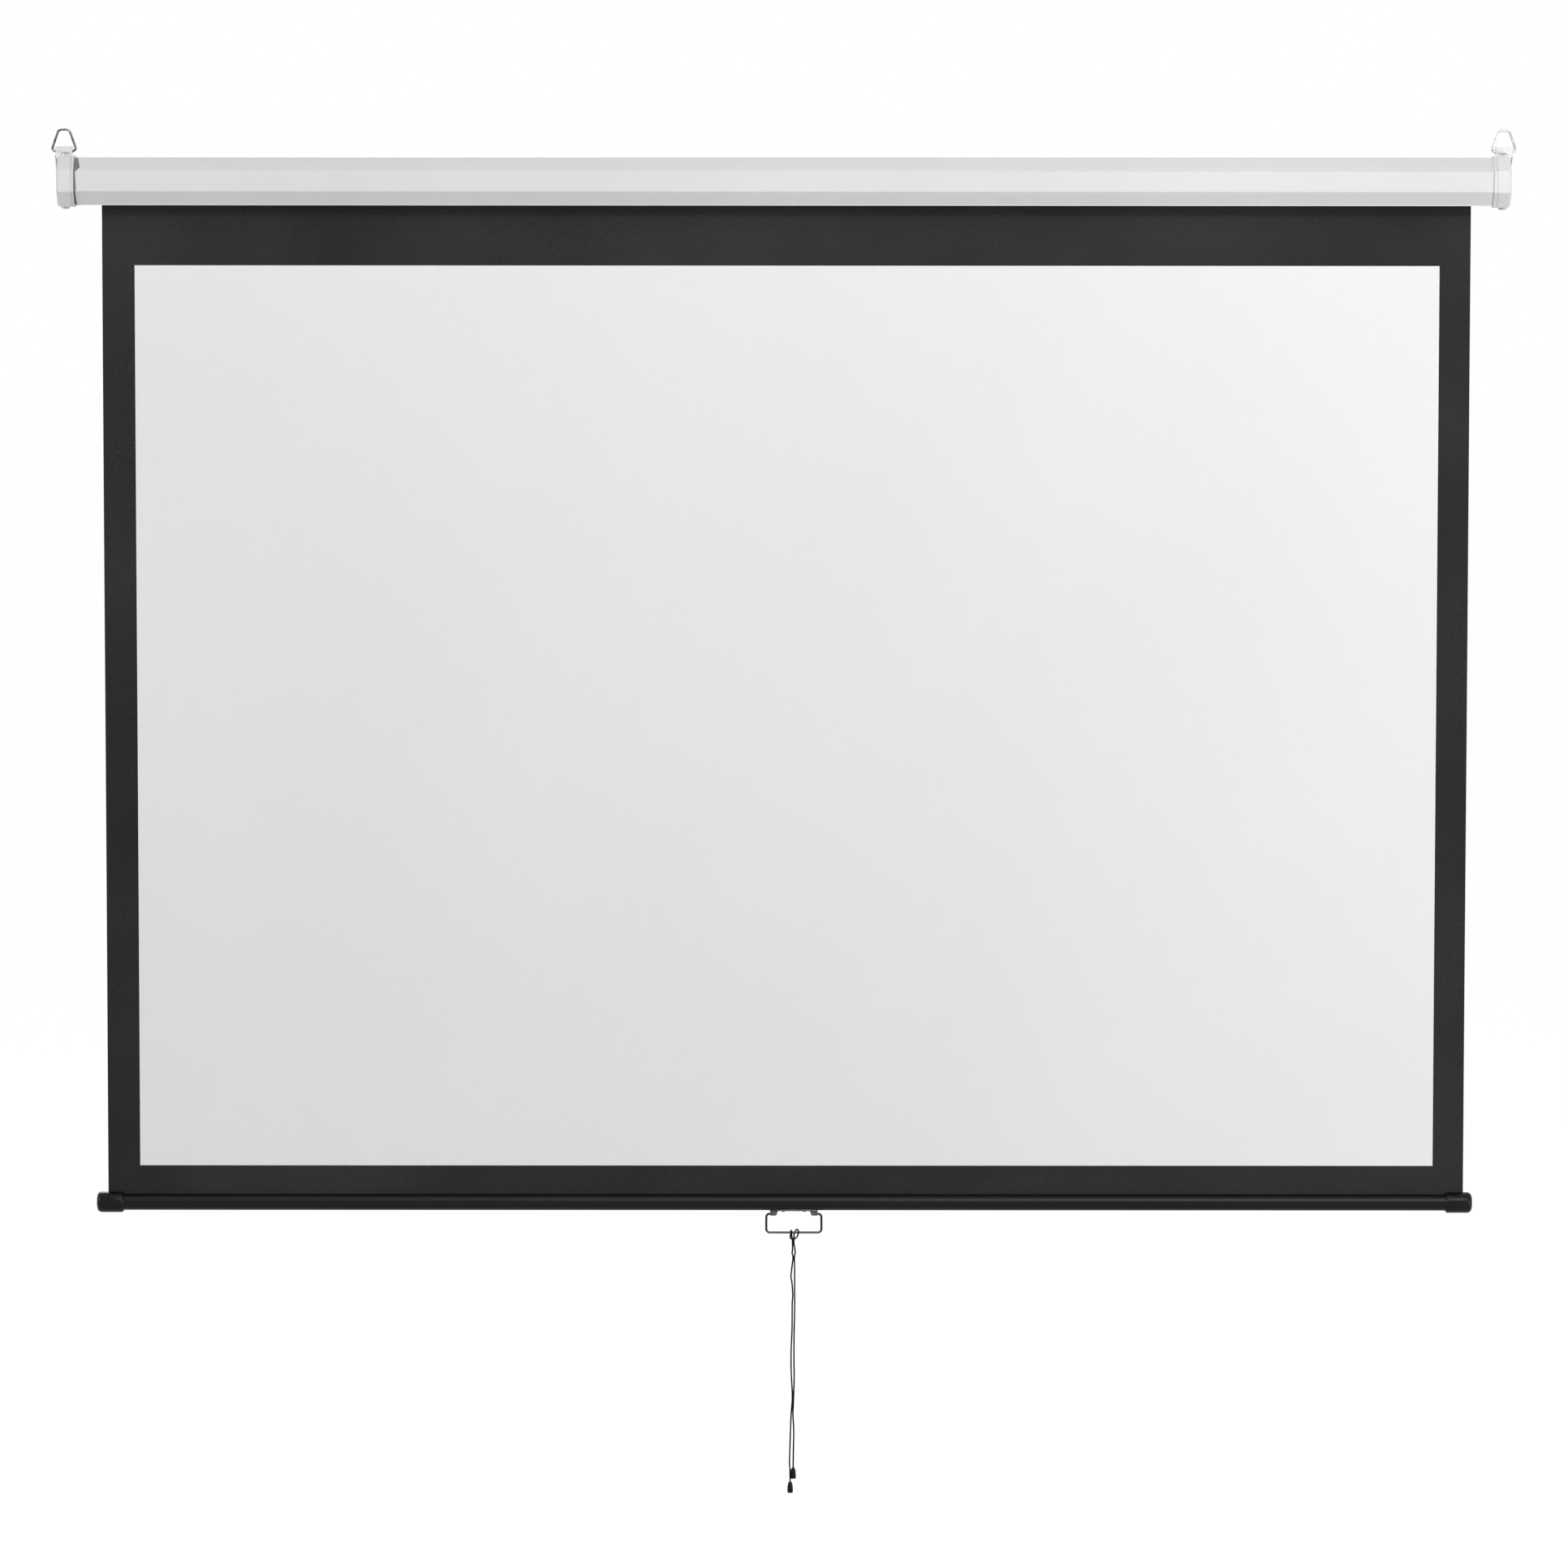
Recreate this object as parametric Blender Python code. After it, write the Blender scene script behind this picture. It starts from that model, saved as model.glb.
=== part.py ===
"""A pull-down projector screen on a spring roller, with its hanging rings, handle and pull cord.

Metres. +X is the viewer's right, +Y points to the wall and +Z is up. The origin is the centre of the
casing's flat back panel. The screen is drawn fully out, as it hangs in use.
"""

import math

import bmesh
import bpy
from mathutils import Vector

# Running and seating clearance between neighbouring pieces
CLEARANCE = 0.0003

# How far a cutter runs past the face that it cuts
CUT_MARGIN = 0.001

# Screen fabric, with its white image area. The casing and the bar reach past it at both ends
SCREEN_WIDTH = 2.000
SCREEN_CENTRE_X = 0.0037
FABRIC_THICKNESS = 0.0005
BORDER_TOP = 0.1228
BORDER_LEFT = 0.0473
BORDER_RIGHT = 0.0453
BORDER_BOTTOM = 0.0546
IMAGE_HEIGHT = 1.3256
COATING_THICKNESS = 0.0003

# Casing: an octagonal steel section, open along the bottom where the screen comes out
CASING_OVERHANG = 0.0585
CASING_FLATS = 0.070
CASING_WALL = 0.001
CASING_BEND = 0.002
SLOT_FRONT_Y = -0.036
SLOT_REAR_Y = -0.011
SLOT_LIP = 0.004

# The uneven cut beside the left cap: how far it runs past the cap's edge, at each share of the
# casing's half height
NOTCH = [
    (0.0048, 1.03),
    (0.0093, 0.57),
    (0.0021, 0.39),
    (0.0037, -0.335),
    (0.0023, -0.414),
    (0.0039, -1.03),
]
NOTCH_MARGIN = 0.0008

# End caps: moulded cups whose skirt and spigot grip the casing's edge between them
CAP_LENGTH = 0.0248
CAP_SKIRT_WALL = 0.0022
CAP_END_WALL = 0.0025
CAP_BEVEL = 0.0032
CAP_GROOVE_WIDTH = 0.0035
CAP_GROOVE_DEPTH = 0.0007
CAP_RIM = 0.0018
SPIGOT_WALL = 0.002
SPIGOT_REACH = 0.014

# Steel plates inside the end caps, which carry the roller
PLATE_THICKNESS = 0.0015
BUSH_WALL = 0.0019
BUSH_FLANGE_RADIUS = 0.009
BUSH_FLANGE_THICKNESS = 0.0014

# Hanger brackets, their screws and the hanging rings
BRACKET_INSET = 0.0083
BRACKET_WIDTH = 0.0245
BRACKET_SHEET = 0.0012
BRACKET_BEND = 0.0018
TAB_Y = -0.0345
TAB_HEIGHT = 0.0129
EAR_DEPTH = 0.009
RING_PIVOT_RISE = 0.0045
LEG_DROP = 0.023
FOOT_FRONT = 0.0155
SCREW_INSET = 0.0112
SCREW_Y = -0.043
SCREW_SHANK_RADIUS = 0.002
SCREW_SHANK_LENGTH = 0.009
SCREW_HEAD_RADIUS = 0.0063
SCREW_HEAD_HEIGHT = 0.003
RECESS_WIDTH = 0.0013
RECESS_LENGTH = 0.005
RECESS_DEPTH = 0.0016
RING_WIRE = 0.0034
RING_SHOULDER_WIDTH = 0.0348
RING_SHOULDER_HEIGHT = 0.0035
RING_CROWN_WIDTH = 0.0152
RING_HEIGHT = 0.0313
RING_CROWN_BEND = 0.006
RING_CORNER_BEND = 0.0022
RING_END = 0.0015

# Roller, with the turns of fabric that stay on it
ROLLER_Y = -0.041
ROLLER_RADIUS = 0.016
ROLLER_WALL = 0.001
ROLLER_SPRING_END_GAP = 0.0172
ROLLER_IDLE_END_GAP = 0.010
PLUG_DEPTH = 0.027
PLUG_FLANGE = 0.0036
IDLE_FLANGE = 0.0025
IDLE_PIN_RADIUS = 0.004
WOUND_TURNS = 2

# Spring motor and ratchet in the left end of the roller
SHAFT_RADIUS = 0.0035
SHAFT_LENGTH = 0.300
TANG_WIDTH = 0.0036
TANG_HEIGHT = 0.008
TANG_ROOT = 0.002
SPRING_WIRE = 0.0016
SPRING_TURNS = 16
SPRING_LENGTH = 0.200
ANCHOR_LENGTH = 0.018
RATCHET_RADIUS = 0.0075
RATCHET_THICKNESS = 0.004
RATCHET_GAP = 0.001
PAWL_PIVOT_RADIUS = 0.0125
PAWL_PIN_RADIUS = 0.0016
PAWL_HUB_RADIUS = 0.003
PAWL_LENGTH = 0.0096
PAWL_WIDTH = 0.0024
PAWL_REST_ANGLE = math.radians(-40.3)
PAWL_CATCH_ANGLE = math.radians(-12.0)

# Bottom bar: a slotted round tube that holds the fabric by a spline
BAR_OVERHANG = 0.0148
BAR_CENTRE_X = 0.0019
BAR_RADIUS = 0.0120
BAR_WALL = 0.001
SLIT_WIDTH = 0.0024
SPLINE_RADIUS = 0.003
BAR_CAP_LENGTH = 0.040
BAR_CAP_WALL = 0.00305
BAR_CAP_END = 0.005
BAR_CAP_ROUND = 0.006
BAR_CAP_TAPER = 0.003
CAP_SLIT_ROOT = 0.003

# Handle: a riveted clip under the bar with a wire bail hinged in its ears
HANDLE_X = 0.0157
CLIP_LENGTH = 0.071
CLIP_SHEET = 0.0012
CLIP_HALF_ANGLE = math.radians(32)
EAR_LENGTH = 0.008
EAR_SLANT = 0.004
EAR_INSET = 0.0005
EAR_WALL = 0.0008
BAIL_DROP = 0.0173
RIVET_SPACING = 0.031
RIVET_RADIUS = 0.0016
RIVET_HEAD_RADIUS = 0.0032
RIVET_HEAD_HEIGHT = 0.001
BAIL_WIRE = 0.0034
BAIL_WIDTH = 0.0814
BAIL_HEIGHT = 0.0277
BAIL_BEND = 0.005
BAIL_END_IN = 0.0105

# Pull cord, hitched around the bail's lower wire
CORD_DIAMETER = 0.00235
CORD_X = 0.0150
HITCH_LOOPS = [(-0.0036, -0.0028), (0.0080, 0.0026)]
KNOT_DROP = 0.0028
KNOT_HEIGHT = 0.0078
KNOT_RADIUS = 0.0037
KNOT_END_RADIUS = 0.0022
BELL_HEIGHT = 0.0168
BELL_TOP_RADIUS = 0.0026
BELL_RADIUS = 0.0045

# Each strand's route from the hitch down, as (x, y, z) from the middle of the bail's lower wire
LEFT_STRAND = [
    (-0.0014, -0.0014, -0.0106),
    (-0.0012, -0.0014, -0.0248),
    (-0.0018, -0.0014, -0.0308),
    (-0.0005, -0.0014, -0.0376),
    (-0.0025, -0.0014, -0.0550),
    (-0.0035, -0.0014, -0.0660),
    (-0.0021, -0.0014, -0.0745),
    (-0.0008, -0.0014, -0.0930),
    (-0.0016, -0.0014, -0.1062),
    (-0.0019, -0.0015, -0.1444),
    (-0.0032, -0.0016, -0.1758),
    (-0.0031, -0.0017, -0.2061),
    (-0.0014, -0.0018, -0.2448),
    (-0.0032, -0.0020, -0.2727),
    (-0.0045, -0.0022, -0.3080),
    (-0.0055, -0.0028, -0.3424),
    (-0.0048, -0.0030, -0.3560),
    (-0.0045, -0.0030, -0.3713),
]
RIGHT_STRAND = [
    (0.0013, 0.0014, -0.0106),
    (0.0023, 0.0014, -0.0190),
    (0.0027, 0.0014, -0.0329),
    (0.0019, 0.0014, -0.0450),
    (0.0019, 0.0014, -0.0821),
    (0.0020, 0.0014, -0.1101),
    (0.0017, 0.0014, -0.1293),
    (0.0011, 0.0014, -0.1524),
    (0.0010, 0.0014, -0.1910),
    (0.0013, 0.0014, -0.2194),
    (0.0001, 0.0014, -0.2575),
    (-0.0004, 0.0014, -0.2727),
    (0.0007, 0.0014, -0.2960),
    (0.0003, 0.0014, -0.3229),
    (-0.0001, 0.0014, -0.3509),
]
STRAND_POINTS = 40

# Sizes that follow from the ones above
CASING_Y = -CASING_FLATS / 2
CAP_FLATS = CASING_FLATS + 2 * (CLEARANCE + CAP_SKIRT_WALL)
SPIGOT_FLATS = CASING_FLATS - 2 * (CASING_WALL + CLEARANCE)
CAP_TOP_Z = CAP_FLATS / 2
CAP_OUTER_X = SCREEN_WIDTH / 2 + CASING_OVERHANG
CAP_INNER_X = CAP_OUTER_X - CAP_LENGTH
PLATE_OUTER_X = CAP_OUTER_X - CAP_END_WALL - CLEARANCE
PLATE_INNER_X = PLATE_OUTER_X - PLATE_THICKNESS
CASING_END_X = PLATE_OUTER_X - CLEARANCE
BRACKET_X = CAP_OUTER_X - BRACKET_INSET
SCREW_X = CAP_OUTER_X - SCREW_INSET
SCREW_HOLE_RADIUS = SCREW_SHANK_RADIUS + CLEARANCE
FOOT_TOP_Z = CAP_TOP_Z + CLEARANCE + BRACKET_SHEET
RING_PIVOT_Z = FOOT_TOP_Z + RING_PIVOT_RISE
RING_PIVOT_Y = TAB_Y + EAR_DEPTH / 2
RING_HOLE_RADIUS = RING_WIRE / 2 + CLEARANCE
WOUND_RADIUS = ROLLER_RADIUS + CLEARANCE + WOUND_TURNS * FABRIC_THICKNESS
SCREEN_Y = ROLLER_Y + WOUND_RADIUS + CLEARANCE + FABRIC_THICKNESS / 2
SCREEN_LEFT_X = SCREEN_CENTRE_X - SCREEN_WIDTH / 2
SCREEN_RIGHT_X = SCREEN_CENTRE_X + SCREEN_WIDTH / 2
ROLLER_LEFT_X = -PLATE_INNER_X + ROLLER_SPRING_END_GAP
ROLLER_RIGHT_X = PLATE_INNER_X - ROLLER_IDLE_END_GAP
PLUG_RADIUS = ROLLER_RADIUS - ROLLER_WALL - CLEARANCE
SHAFT_BORE_RADIUS = SHAFT_RADIUS + CLEARANCE
SPRING_RADIUS = SHAFT_RADIUS + 2 * CLEARANCE + SPRING_WIRE / 2
RATCHET_OUTER_X = ROLLER_LEFT_X - PLUG_FLANGE - CLEARANCE - RATCHET_GAP - RATCHET_THICKNESS
IMAGE_BOTTOM_Z = -BORDER_TOP - IMAGE_HEIGHT
BAR_Z = IMAGE_BOTTOM_Z - BORDER_BOTTOM
BAR_CAP_RADIUS = BAR_RADIUS + CLEARANCE + BAR_CAP_WALL
BAR_LEFT_X = BAR_CENTRE_X - SCREEN_WIDTH / 2 - BAR_OVERHANG
BAR_RIGHT_X = BAR_CENTRE_X + SCREEN_WIDTH / 2 + BAR_OVERHANG
SPLINE_Z = BAR_Z + BAR_RADIUS - BAR_WALL - CLEARANCE - SPLINE_RADIUS
SCREEN_BOTTOM_Z = SPLINE_Z + SPLINE_RADIUS + CLEARANCE
CLIP_INNER_RADIUS = BAR_RADIUS + CLEARANCE
CLIP_OUTER_RADIUS = CLIP_INNER_RADIUS + CLIP_SHEET
BAIL_Z = BAR_Z - BAIL_DROP
BAIL_HOLE_RADIUS = BAIL_WIRE / 2 + CLEARANCE
CORD_Z = BAIL_Z - BAIL_HEIGHT
HITCH_RADIUS = BAIL_WIRE / 2 + CLEARANCE + CORD_DIAMETER / 2


def make_material(name, colour, roughness, metallic=0.0):
    """A plain Principled material."""
    material = bpy.data.materials.new(name)
    material.use_nodes = True
    shader = material.node_tree.nodes["Principled BSDF"]
    shader.inputs["Base Color"].default_value = (*colour, 1.0)
    shader.inputs["Roughness"].default_value = roughness
    shader.inputs["Metallic"].default_value = metallic
    return material


def world_place(obj):
    """Where an object's origin is, through its parents, which are only ever moved."""
    return obj.location + (world_place(obj.parent) if obj.parent else Vector((0, 0, 0)))


def put(obj, at, parent):
    """Links an object with its origin at a place in the world."""
    bpy.context.scene.collection.objects.link(obj)
    obj.location = Vector(at) - (world_place(parent) if parent else Vector((0, 0, 0)))
    obj.parent = parent
    return obj


def axis_empty(name, at, parent=None):
    """An empty on a joint's axis, which carries the pieces that move with it."""
    return put(bpy.data.objects.new(name, None), at, parent)


def add_piece(name, bm, material, at=(0, 0, 0), parent=None):
    """One solid piece, from a mesh drawn around its own origin."""
    bmesh.ops.recalc_face_normals(bm, faces=bm.faces)
    mesh = bpy.data.meshes.new(name)
    bm.to_mesh(mesh)
    bm.free()
    mesh.shade_smooth()
    mesh.set_sharp_from_angle(angle=math.radians(35))
    mesh.materials.append(material)
    return put(bpy.data.objects.new(name, mesh), at, parent)


def combine(piece, bm, operation, name):
    """Cuts a guide shape from a piece, or joins it on."""
    guide = add_piece(name, bm, piece.active_material, world_place(piece), piece.parent)
    guide.hide_render = True
    guide.display_type = "WIRE"
    boolean = piece.modifiers.new(name, "BOOLEAN")
    boolean.operation = operation
    boolean.solver = "EXACT"
    boolean.object = guide


def cut(piece, bm, name):
    combine(piece, bm, "DIFFERENCE", name)


def join(piece, bm, name):
    combine(piece, bm, "UNION", name)


def in_space(point, along, axis):
    """A point of a flat section, placed at a distance along the axis that crosses it."""
    u, v = point[0], point[1]
    return {"X": (along, u, v), "Y": (u, along, v), "Z": (u, v, along)}[axis]


def skin(bm, rings, closed=False):
    """Joins rings of points one after another, and fills the ends or joins last to first."""
    loops = [[bm.verts.new(point) for point in ring] for ring in rings]
    pairs = list(zip(loops, loops[1:]))
    if closed:
        pairs.append((loops[-1], loops[0]))
    else:
        bm.faces.new(loops[0])
        bm.faces.new(loops[-1])
    for one, other in pairs:
        for i in range(len(one)):
            j = (i + 1) % len(one)
            bm.faces.new((one[i], one[j], other[j], other[i]))
    return bm


def prism(outline, start, end, axis):
    """A flat outline carried along an axis."""
    return skin(bmesh.new(), [[in_space(p, along, axis) for p in outline] for along in (start, end)])


def box(low, high):
    outline = [(low[0], low[1]), (high[0], low[1]), (high[0], high[1]), (low[0], high[1])]
    return prism(outline, low[2], high[2], "Z")


def circle(radius, steps, centre=(0, 0)):
    turns = [2 * math.pi * (i + 0.5) / steps for i in range(steps)]
    return [(centre[0] + radius * math.cos(a), centre[1] + radius * math.sin(a)) for a in turns]


def turned(profile, axis, steps=32, closed=False):
    """A profile of (place along the axis, radius) turned about that axis."""
    rings = [[in_space(p, along, axis) for p in circle(radius, steps)] for along, radius in profile]
    return skin(bmesh.new(), rings, closed)


def rod(radius, start, end, axis, steps=16, centre=(0, 0)):
    return prism(circle(radius, steps, centre), start, end, axis)


def sleeve(outer, inner, start, end, axis, steps=32):
    return turned([(start, outer), (end, outer), (end, inner), (start, inner)], axis, steps, True)


def octagon(across_flats):
    """Corners of the casing's octagon, with flats facing along Y and Z."""
    radius = across_flats / 2 / math.cos(math.pi / 8)
    return [
        (radius * math.cos(a), radius * math.sin(a))
        for a in (math.pi / 8 + k * math.pi / 4 for k in range(8))
    ]


def rounded(points, bend, steps=3):
    """A path whose inner corners are rounded to a bend radius."""
    points = [Vector(p).to_3d() for p in points]
    path = [points[0]]
    for before, corner, after in zip(points, points[1:], points[2:]):
        back = (before - corner).normalized()
        onward = (after - corner).normalized()
        half = back.angle(onward) / 2
        centre = corner + (back + onward).normalized() * bend / math.sin(half)
        first = (corner + back * bend / math.tan(half) - centre).normalized()
        last = (corner + onward * bend / math.tan(half) - centre).normalized()
        path += [centre + bend * first.slerp(last, i / steps) for i in range(steps + 1)]
    return path + [points[-1]]


def offset(path, distance):
    """The path moved to its right by a distance, with mitred corners."""
    moved = []
    for i, point in enumerate(path):
        into = (point - path[i - 1]).normalized() if i else None
        out = (path[i + 1] - point).normalized() if i + 1 < len(path) else None
        sides = [Vector((d.y, -d.x, 0)) for d in (into, out) if d is not None]
        middle = sum(sides, Vector((0, 0, 0))).normalized()
        moved.append(point + middle * distance / middle.dot(sides[0]))
    return moved


def sheet_section(path, thickness, start, end, axis):
    """Folded sheet metal: a path with its thickness to the right, carried along an axis."""
    bm = bmesh.new()
    sides = [path, offset(path, thickness)]
    grid = [
        [[bm.verts.new(in_space(p, along, axis)) for p in side] for side in sides]
        for along in (start, end)
    ]
    (outer, inner), (far_outer, far_inner) = grid
    for i in range(len(path) - 1):
        bm.faces.new((outer[i], outer[i + 1], inner[i + 1], inner[i]))
        bm.faces.new((far_outer[i], far_inner[i], far_inner[i + 1], far_outer[i + 1]))
        bm.faces.new((outer[i], far_outer[i], far_outer[i + 1], outer[i + 1]))
        bm.faces.new((inner[i], inner[i + 1], far_inner[i + 1], far_inner[i]))
    for i in (0, -1):
        bm.faces.new((outer[i], inner[i], far_inner[i], far_outer[i]))
    return bm


def swept(points, radius, steps=8):
    """A round bar along a path that starts across the X axis, with flat ends."""
    side = Vector((1, 0, 0))
    rings = []
    for i, point in enumerate(points):
        ahead = (points[min(i + 1, len(points) - 1)] - points[max(i - 1, 0)]).normalized()
        side = (side - ahead * side.dot(ahead)).normalized()
        up = ahead.cross(side)
        rings.append([point + side * u + up * v for u, v in circle(radius, steps)])
    return skin(bmesh.new(), rings)


def add_wire(name, points, diameter, material, at, parent=None, bevel_resolution=2):
    """A round wire along an open path, with flat ends."""
    curve = bpy.data.curves.new(name, "CURVE")
    curve.dimensions = "3D"
    curve.bevel_depth = diameter / 2
    curve.bevel_resolution = bevel_resolution
    curve.use_fill_caps = True
    spline = curve.splines.new("POLY")
    spline.points.add(len(points) - 1)
    for spline_point, point in zip(spline.points, points):
        spline_point.co = (*Vector(point).to_3d(), 1.0)
    curve.materials.append(material)
    return put(bpy.data.objects.new(name, curve), at, parent)


def smooth_route(points, count):
    """Even steps along a smooth curve through a route's own points."""
    points = [Vector(p) for p in points]
    ends = [2 * points[0] - points[1], *points, 2 * points[-1] - points[-2]]
    fine = []
    for a, b, c, d in zip(ends, ends[1:], ends[2:], ends[3:]):
        for i in range(12):
            t = i / 12
            fine.append(
                0.5 * (2 * b + (c - a) * t + (2 * a - 5 * b + 4 * c - d) * t**2)
                + 0.5 * (3 * b - a - 3 * c + d) * t**3
            )
    fine.append(points[-1])
    lengths = [0.0]
    for a, b in zip(fine, fine[1:]):
        lengths.append(lengths[-1] + (b - a).length)
    route = []
    for k in range(count):
        reach = lengths[-1] * k / (count - 1)
        i = max(j for j in range(len(fine) - 1) if lengths[j] <= reach)
        share = (reach - lengths[i]) / (lengths[i + 1] - lengths[i])
        route.append(fine[i].lerp(fine[i + 1], share))
    return route


def end_name(side):
    return "left" if side < 0 else "right"


def build_casing(materials):
    """The folded octagonal section, with both edges of its slot turned in."""
    half = CASING_FLATS / 2
    flat = half * math.tan(math.pi / 8)
    rear_drop = SLOT_REAR_Y - CASING_Y - half - flat
    turn = SLOT_LIP / math.sqrt(2)
    corners = [
        (SLOT_FRONT_Y - CASING_Y, -half + SLOT_LIP),
        (SLOT_FRONT_Y - CASING_Y, -half),
        (-flat, -half),
        (-half, -flat),
        (-half, flat),
        (-flat, half),
        (flat, half),
        (half, flat),
        (half, -flat),
        (SLOT_REAR_Y - CASING_Y, rear_drop),
        (SLOT_REAR_Y - CASING_Y - turn, rear_drop + turn),
    ]
    path = rounded(corners, CASING_BEND)
    section = sheet_section(path, CASING_WALL, -CASING_END_X, CASING_END_X, "X")
    casing = add_piece("casing_profile", section, materials["powder_coat"], (0, CASING_Y, 0))
    cut(casing, casing_end_notch(flat, half), "notch_guide")
    for side in (-1, 1):
        for level in (-1, 1):
            wall = (level * half, level * (half - CASING_WALL))
            cut(casing, screw_hole(side, wall), f"casing_screw_guide_{end_name(side)}_{level}")


def casing_end_notch(flat, half):
    """The uneven cut that shows beside the left end cap, on the three front facets only."""
    beyond = -CASING_END_X - CUT_MARGIN
    outline = [(-CAP_INNER_X + past, share * half) for past, share in NOTCH]
    outline = [(beyond, outline[0][1]), *outline, (beyond, outline[-1][1])]
    return prism(outline, -half - CUT_MARGIN, -flat - NOTCH_MARGIN, "Y")


def screw_hole(side, wall):
    """The hole for an end screw, through a wall between two heights."""
    start, end = sorted(wall)
    place = (side * SCREW_X, SCREW_Y - CASING_Y)
    return rod(SCREW_HOLE_RADIUS, start - CUT_MARGIN, end + CUT_MARGIN, "Z", 16, place)


def build_end_cap(side, materials):
    """A cup with an outer skirt and an inner spigot, drawn from its outer end inwards."""
    face = CAP_FLATS - 2 * CAP_BEVEL
    skirt_inside = CASING_FLATS + 2 * CLEARANCE
    spigot_end = CAP_LENGTH + SPIGOT_REACH
    channel = CAP_END_WALL + CLEARANCE
    groove = CAP_LENGTH - CAP_RIM
    stations = [
        (0, face),
        (CAP_BEVEL, CAP_FLATS),
        (groove - CAP_GROOVE_WIDTH, CAP_FLATS),
        (groove - CAP_GROOVE_WIDTH + CAP_GROOVE_DEPTH, CAP_FLATS - 2 * CAP_GROOVE_DEPTH),
        (groove - CAP_GROOVE_DEPTH, CAP_FLATS - 2 * CAP_GROOVE_DEPTH),
        (groove, CAP_FLATS),
        (CAP_LENGTH, CAP_FLATS),
        (CAP_LENGTH, skirt_inside),
        (channel, skirt_inside),
        (channel, SPIGOT_FLATS),
        (spigot_end, SPIGOT_FLATS),
        (spigot_end, SPIGOT_FLATS - 2 * SPIGOT_WALL),
        (CAP_END_WALL, SPIGOT_FLATS - 2 * SPIGOT_WALL),
    ]
    rings = [
        [in_space(p, side * (CAP_OUTER_X - depth), "X") for p in octagon(flats)]
        for depth, flats in stations
    ]
    name = f"{end_name(side)}_end_cap"
    cap = add_piece(name, skin(bmesh.new(), rings), materials["white_plastic"], (0, CASING_Y, 0))
    ends = sorted((side * (CAP_OUTER_X - channel), side * (CAP_OUTER_X - spigot_end - CUT_MARGIN)))
    cut(cap, prism(slot_relief(), ends[0], ends[1], "X"), f"{name}_relief_guide")
    for level in (-1, 1):
        wall = (level * (SPIGOT_FLATS / 2 - SPIGOT_WALL), level * CAP_TOP_Z)
        cut(cap, screw_hole(side, wall), f"{name}_screw_guide_{level}")


def slot_relief():
    """What the spigot and the plate leave open for the casing's turned-in slot edges."""
    reach = CASING_FLATS / 2 - CLEARANCE
    corner = reach * math.tan(math.pi / 8)
    front = SLOT_FRONT_Y - CASING_Y - CASING_WALL - 2 * CLEARANCE
    rear = SLOT_REAR_Y - CASING_Y + 2 * CASING_WALL + CLEARANCE
    inward = SLOT_LIP + 2 * SPIGOT_WALL
    return [
        (front, -reach),
        (corner, -reach),
        (rear, -reach + rear - corner),
        (rear - inward, -reach + rear - corner + inward),
        (corner - inward, -reach + inward),
        (front, -reach + inward),
    ]


def build_bearing_plate(side, materials):
    """The steel plate behind the end wall, slotted for the shaft or bored for the bush."""
    flats = SPIGOT_FLATS - 2 * (SPIGOT_WALL + CLEARANCE)
    outer, inner = sorted((side * PLATE_OUTER_X, side * PLATE_INNER_X))
    name = f"{end_name(side)}_bearing_plate"
    plate = add_piece(name, prism(octagon(flats), outer, inner, "X"), materials["zinc"], (0, CASING_Y, 0))
    start, end = outer - CUT_MARGIN, inner + CUT_MARGIN
    cut(plate, prism(slot_relief(), start, end, "X"), f"{name}_relief_guide")
    if side < 0:
        wide = TANG_WIDTH / 2 + CLEARANCE
        tall = TANG_HEIGHT / 2 + CLEARANCE
        hole = box((start, -wide, -tall), (end, wide, tall))
    else:
        hole = rod(IDLE_PIN_RADIUS + BUSH_WALL + 2 * CLEARANCE, start, end, "X", 24)
    bmesh.ops.translate(hole, vec=(0, ROLLER_Y - CASING_Y, 0), verts=hole.verts)
    cut(plate, hole, f"{name}_guide")


def build_idle_bush(materials):
    """The flanged bush in the right bearing plate."""
    bore = IDLE_PIN_RADIUS + CLEARANCE
    barrel = bore + BUSH_WALL
    flange = PLATE_INNER_X - CLEARANCE
    profile = [
        (PLATE_OUTER_X, barrel),
        (flange, barrel),
        (flange, BUSH_FLANGE_RADIUS),
        (flange - BUSH_FLANGE_THICKNESS, BUSH_FLANGE_RADIUS),
        (flange - BUSH_FLANGE_THICKNESS, bore),
        (PLATE_OUTER_X, bore),
    ]
    bush = turned(profile, "X", 24, True)
    add_piece("idle_pin_bush", bush, materials["nylon"], (0, ROLLER_Y, 0))


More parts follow.
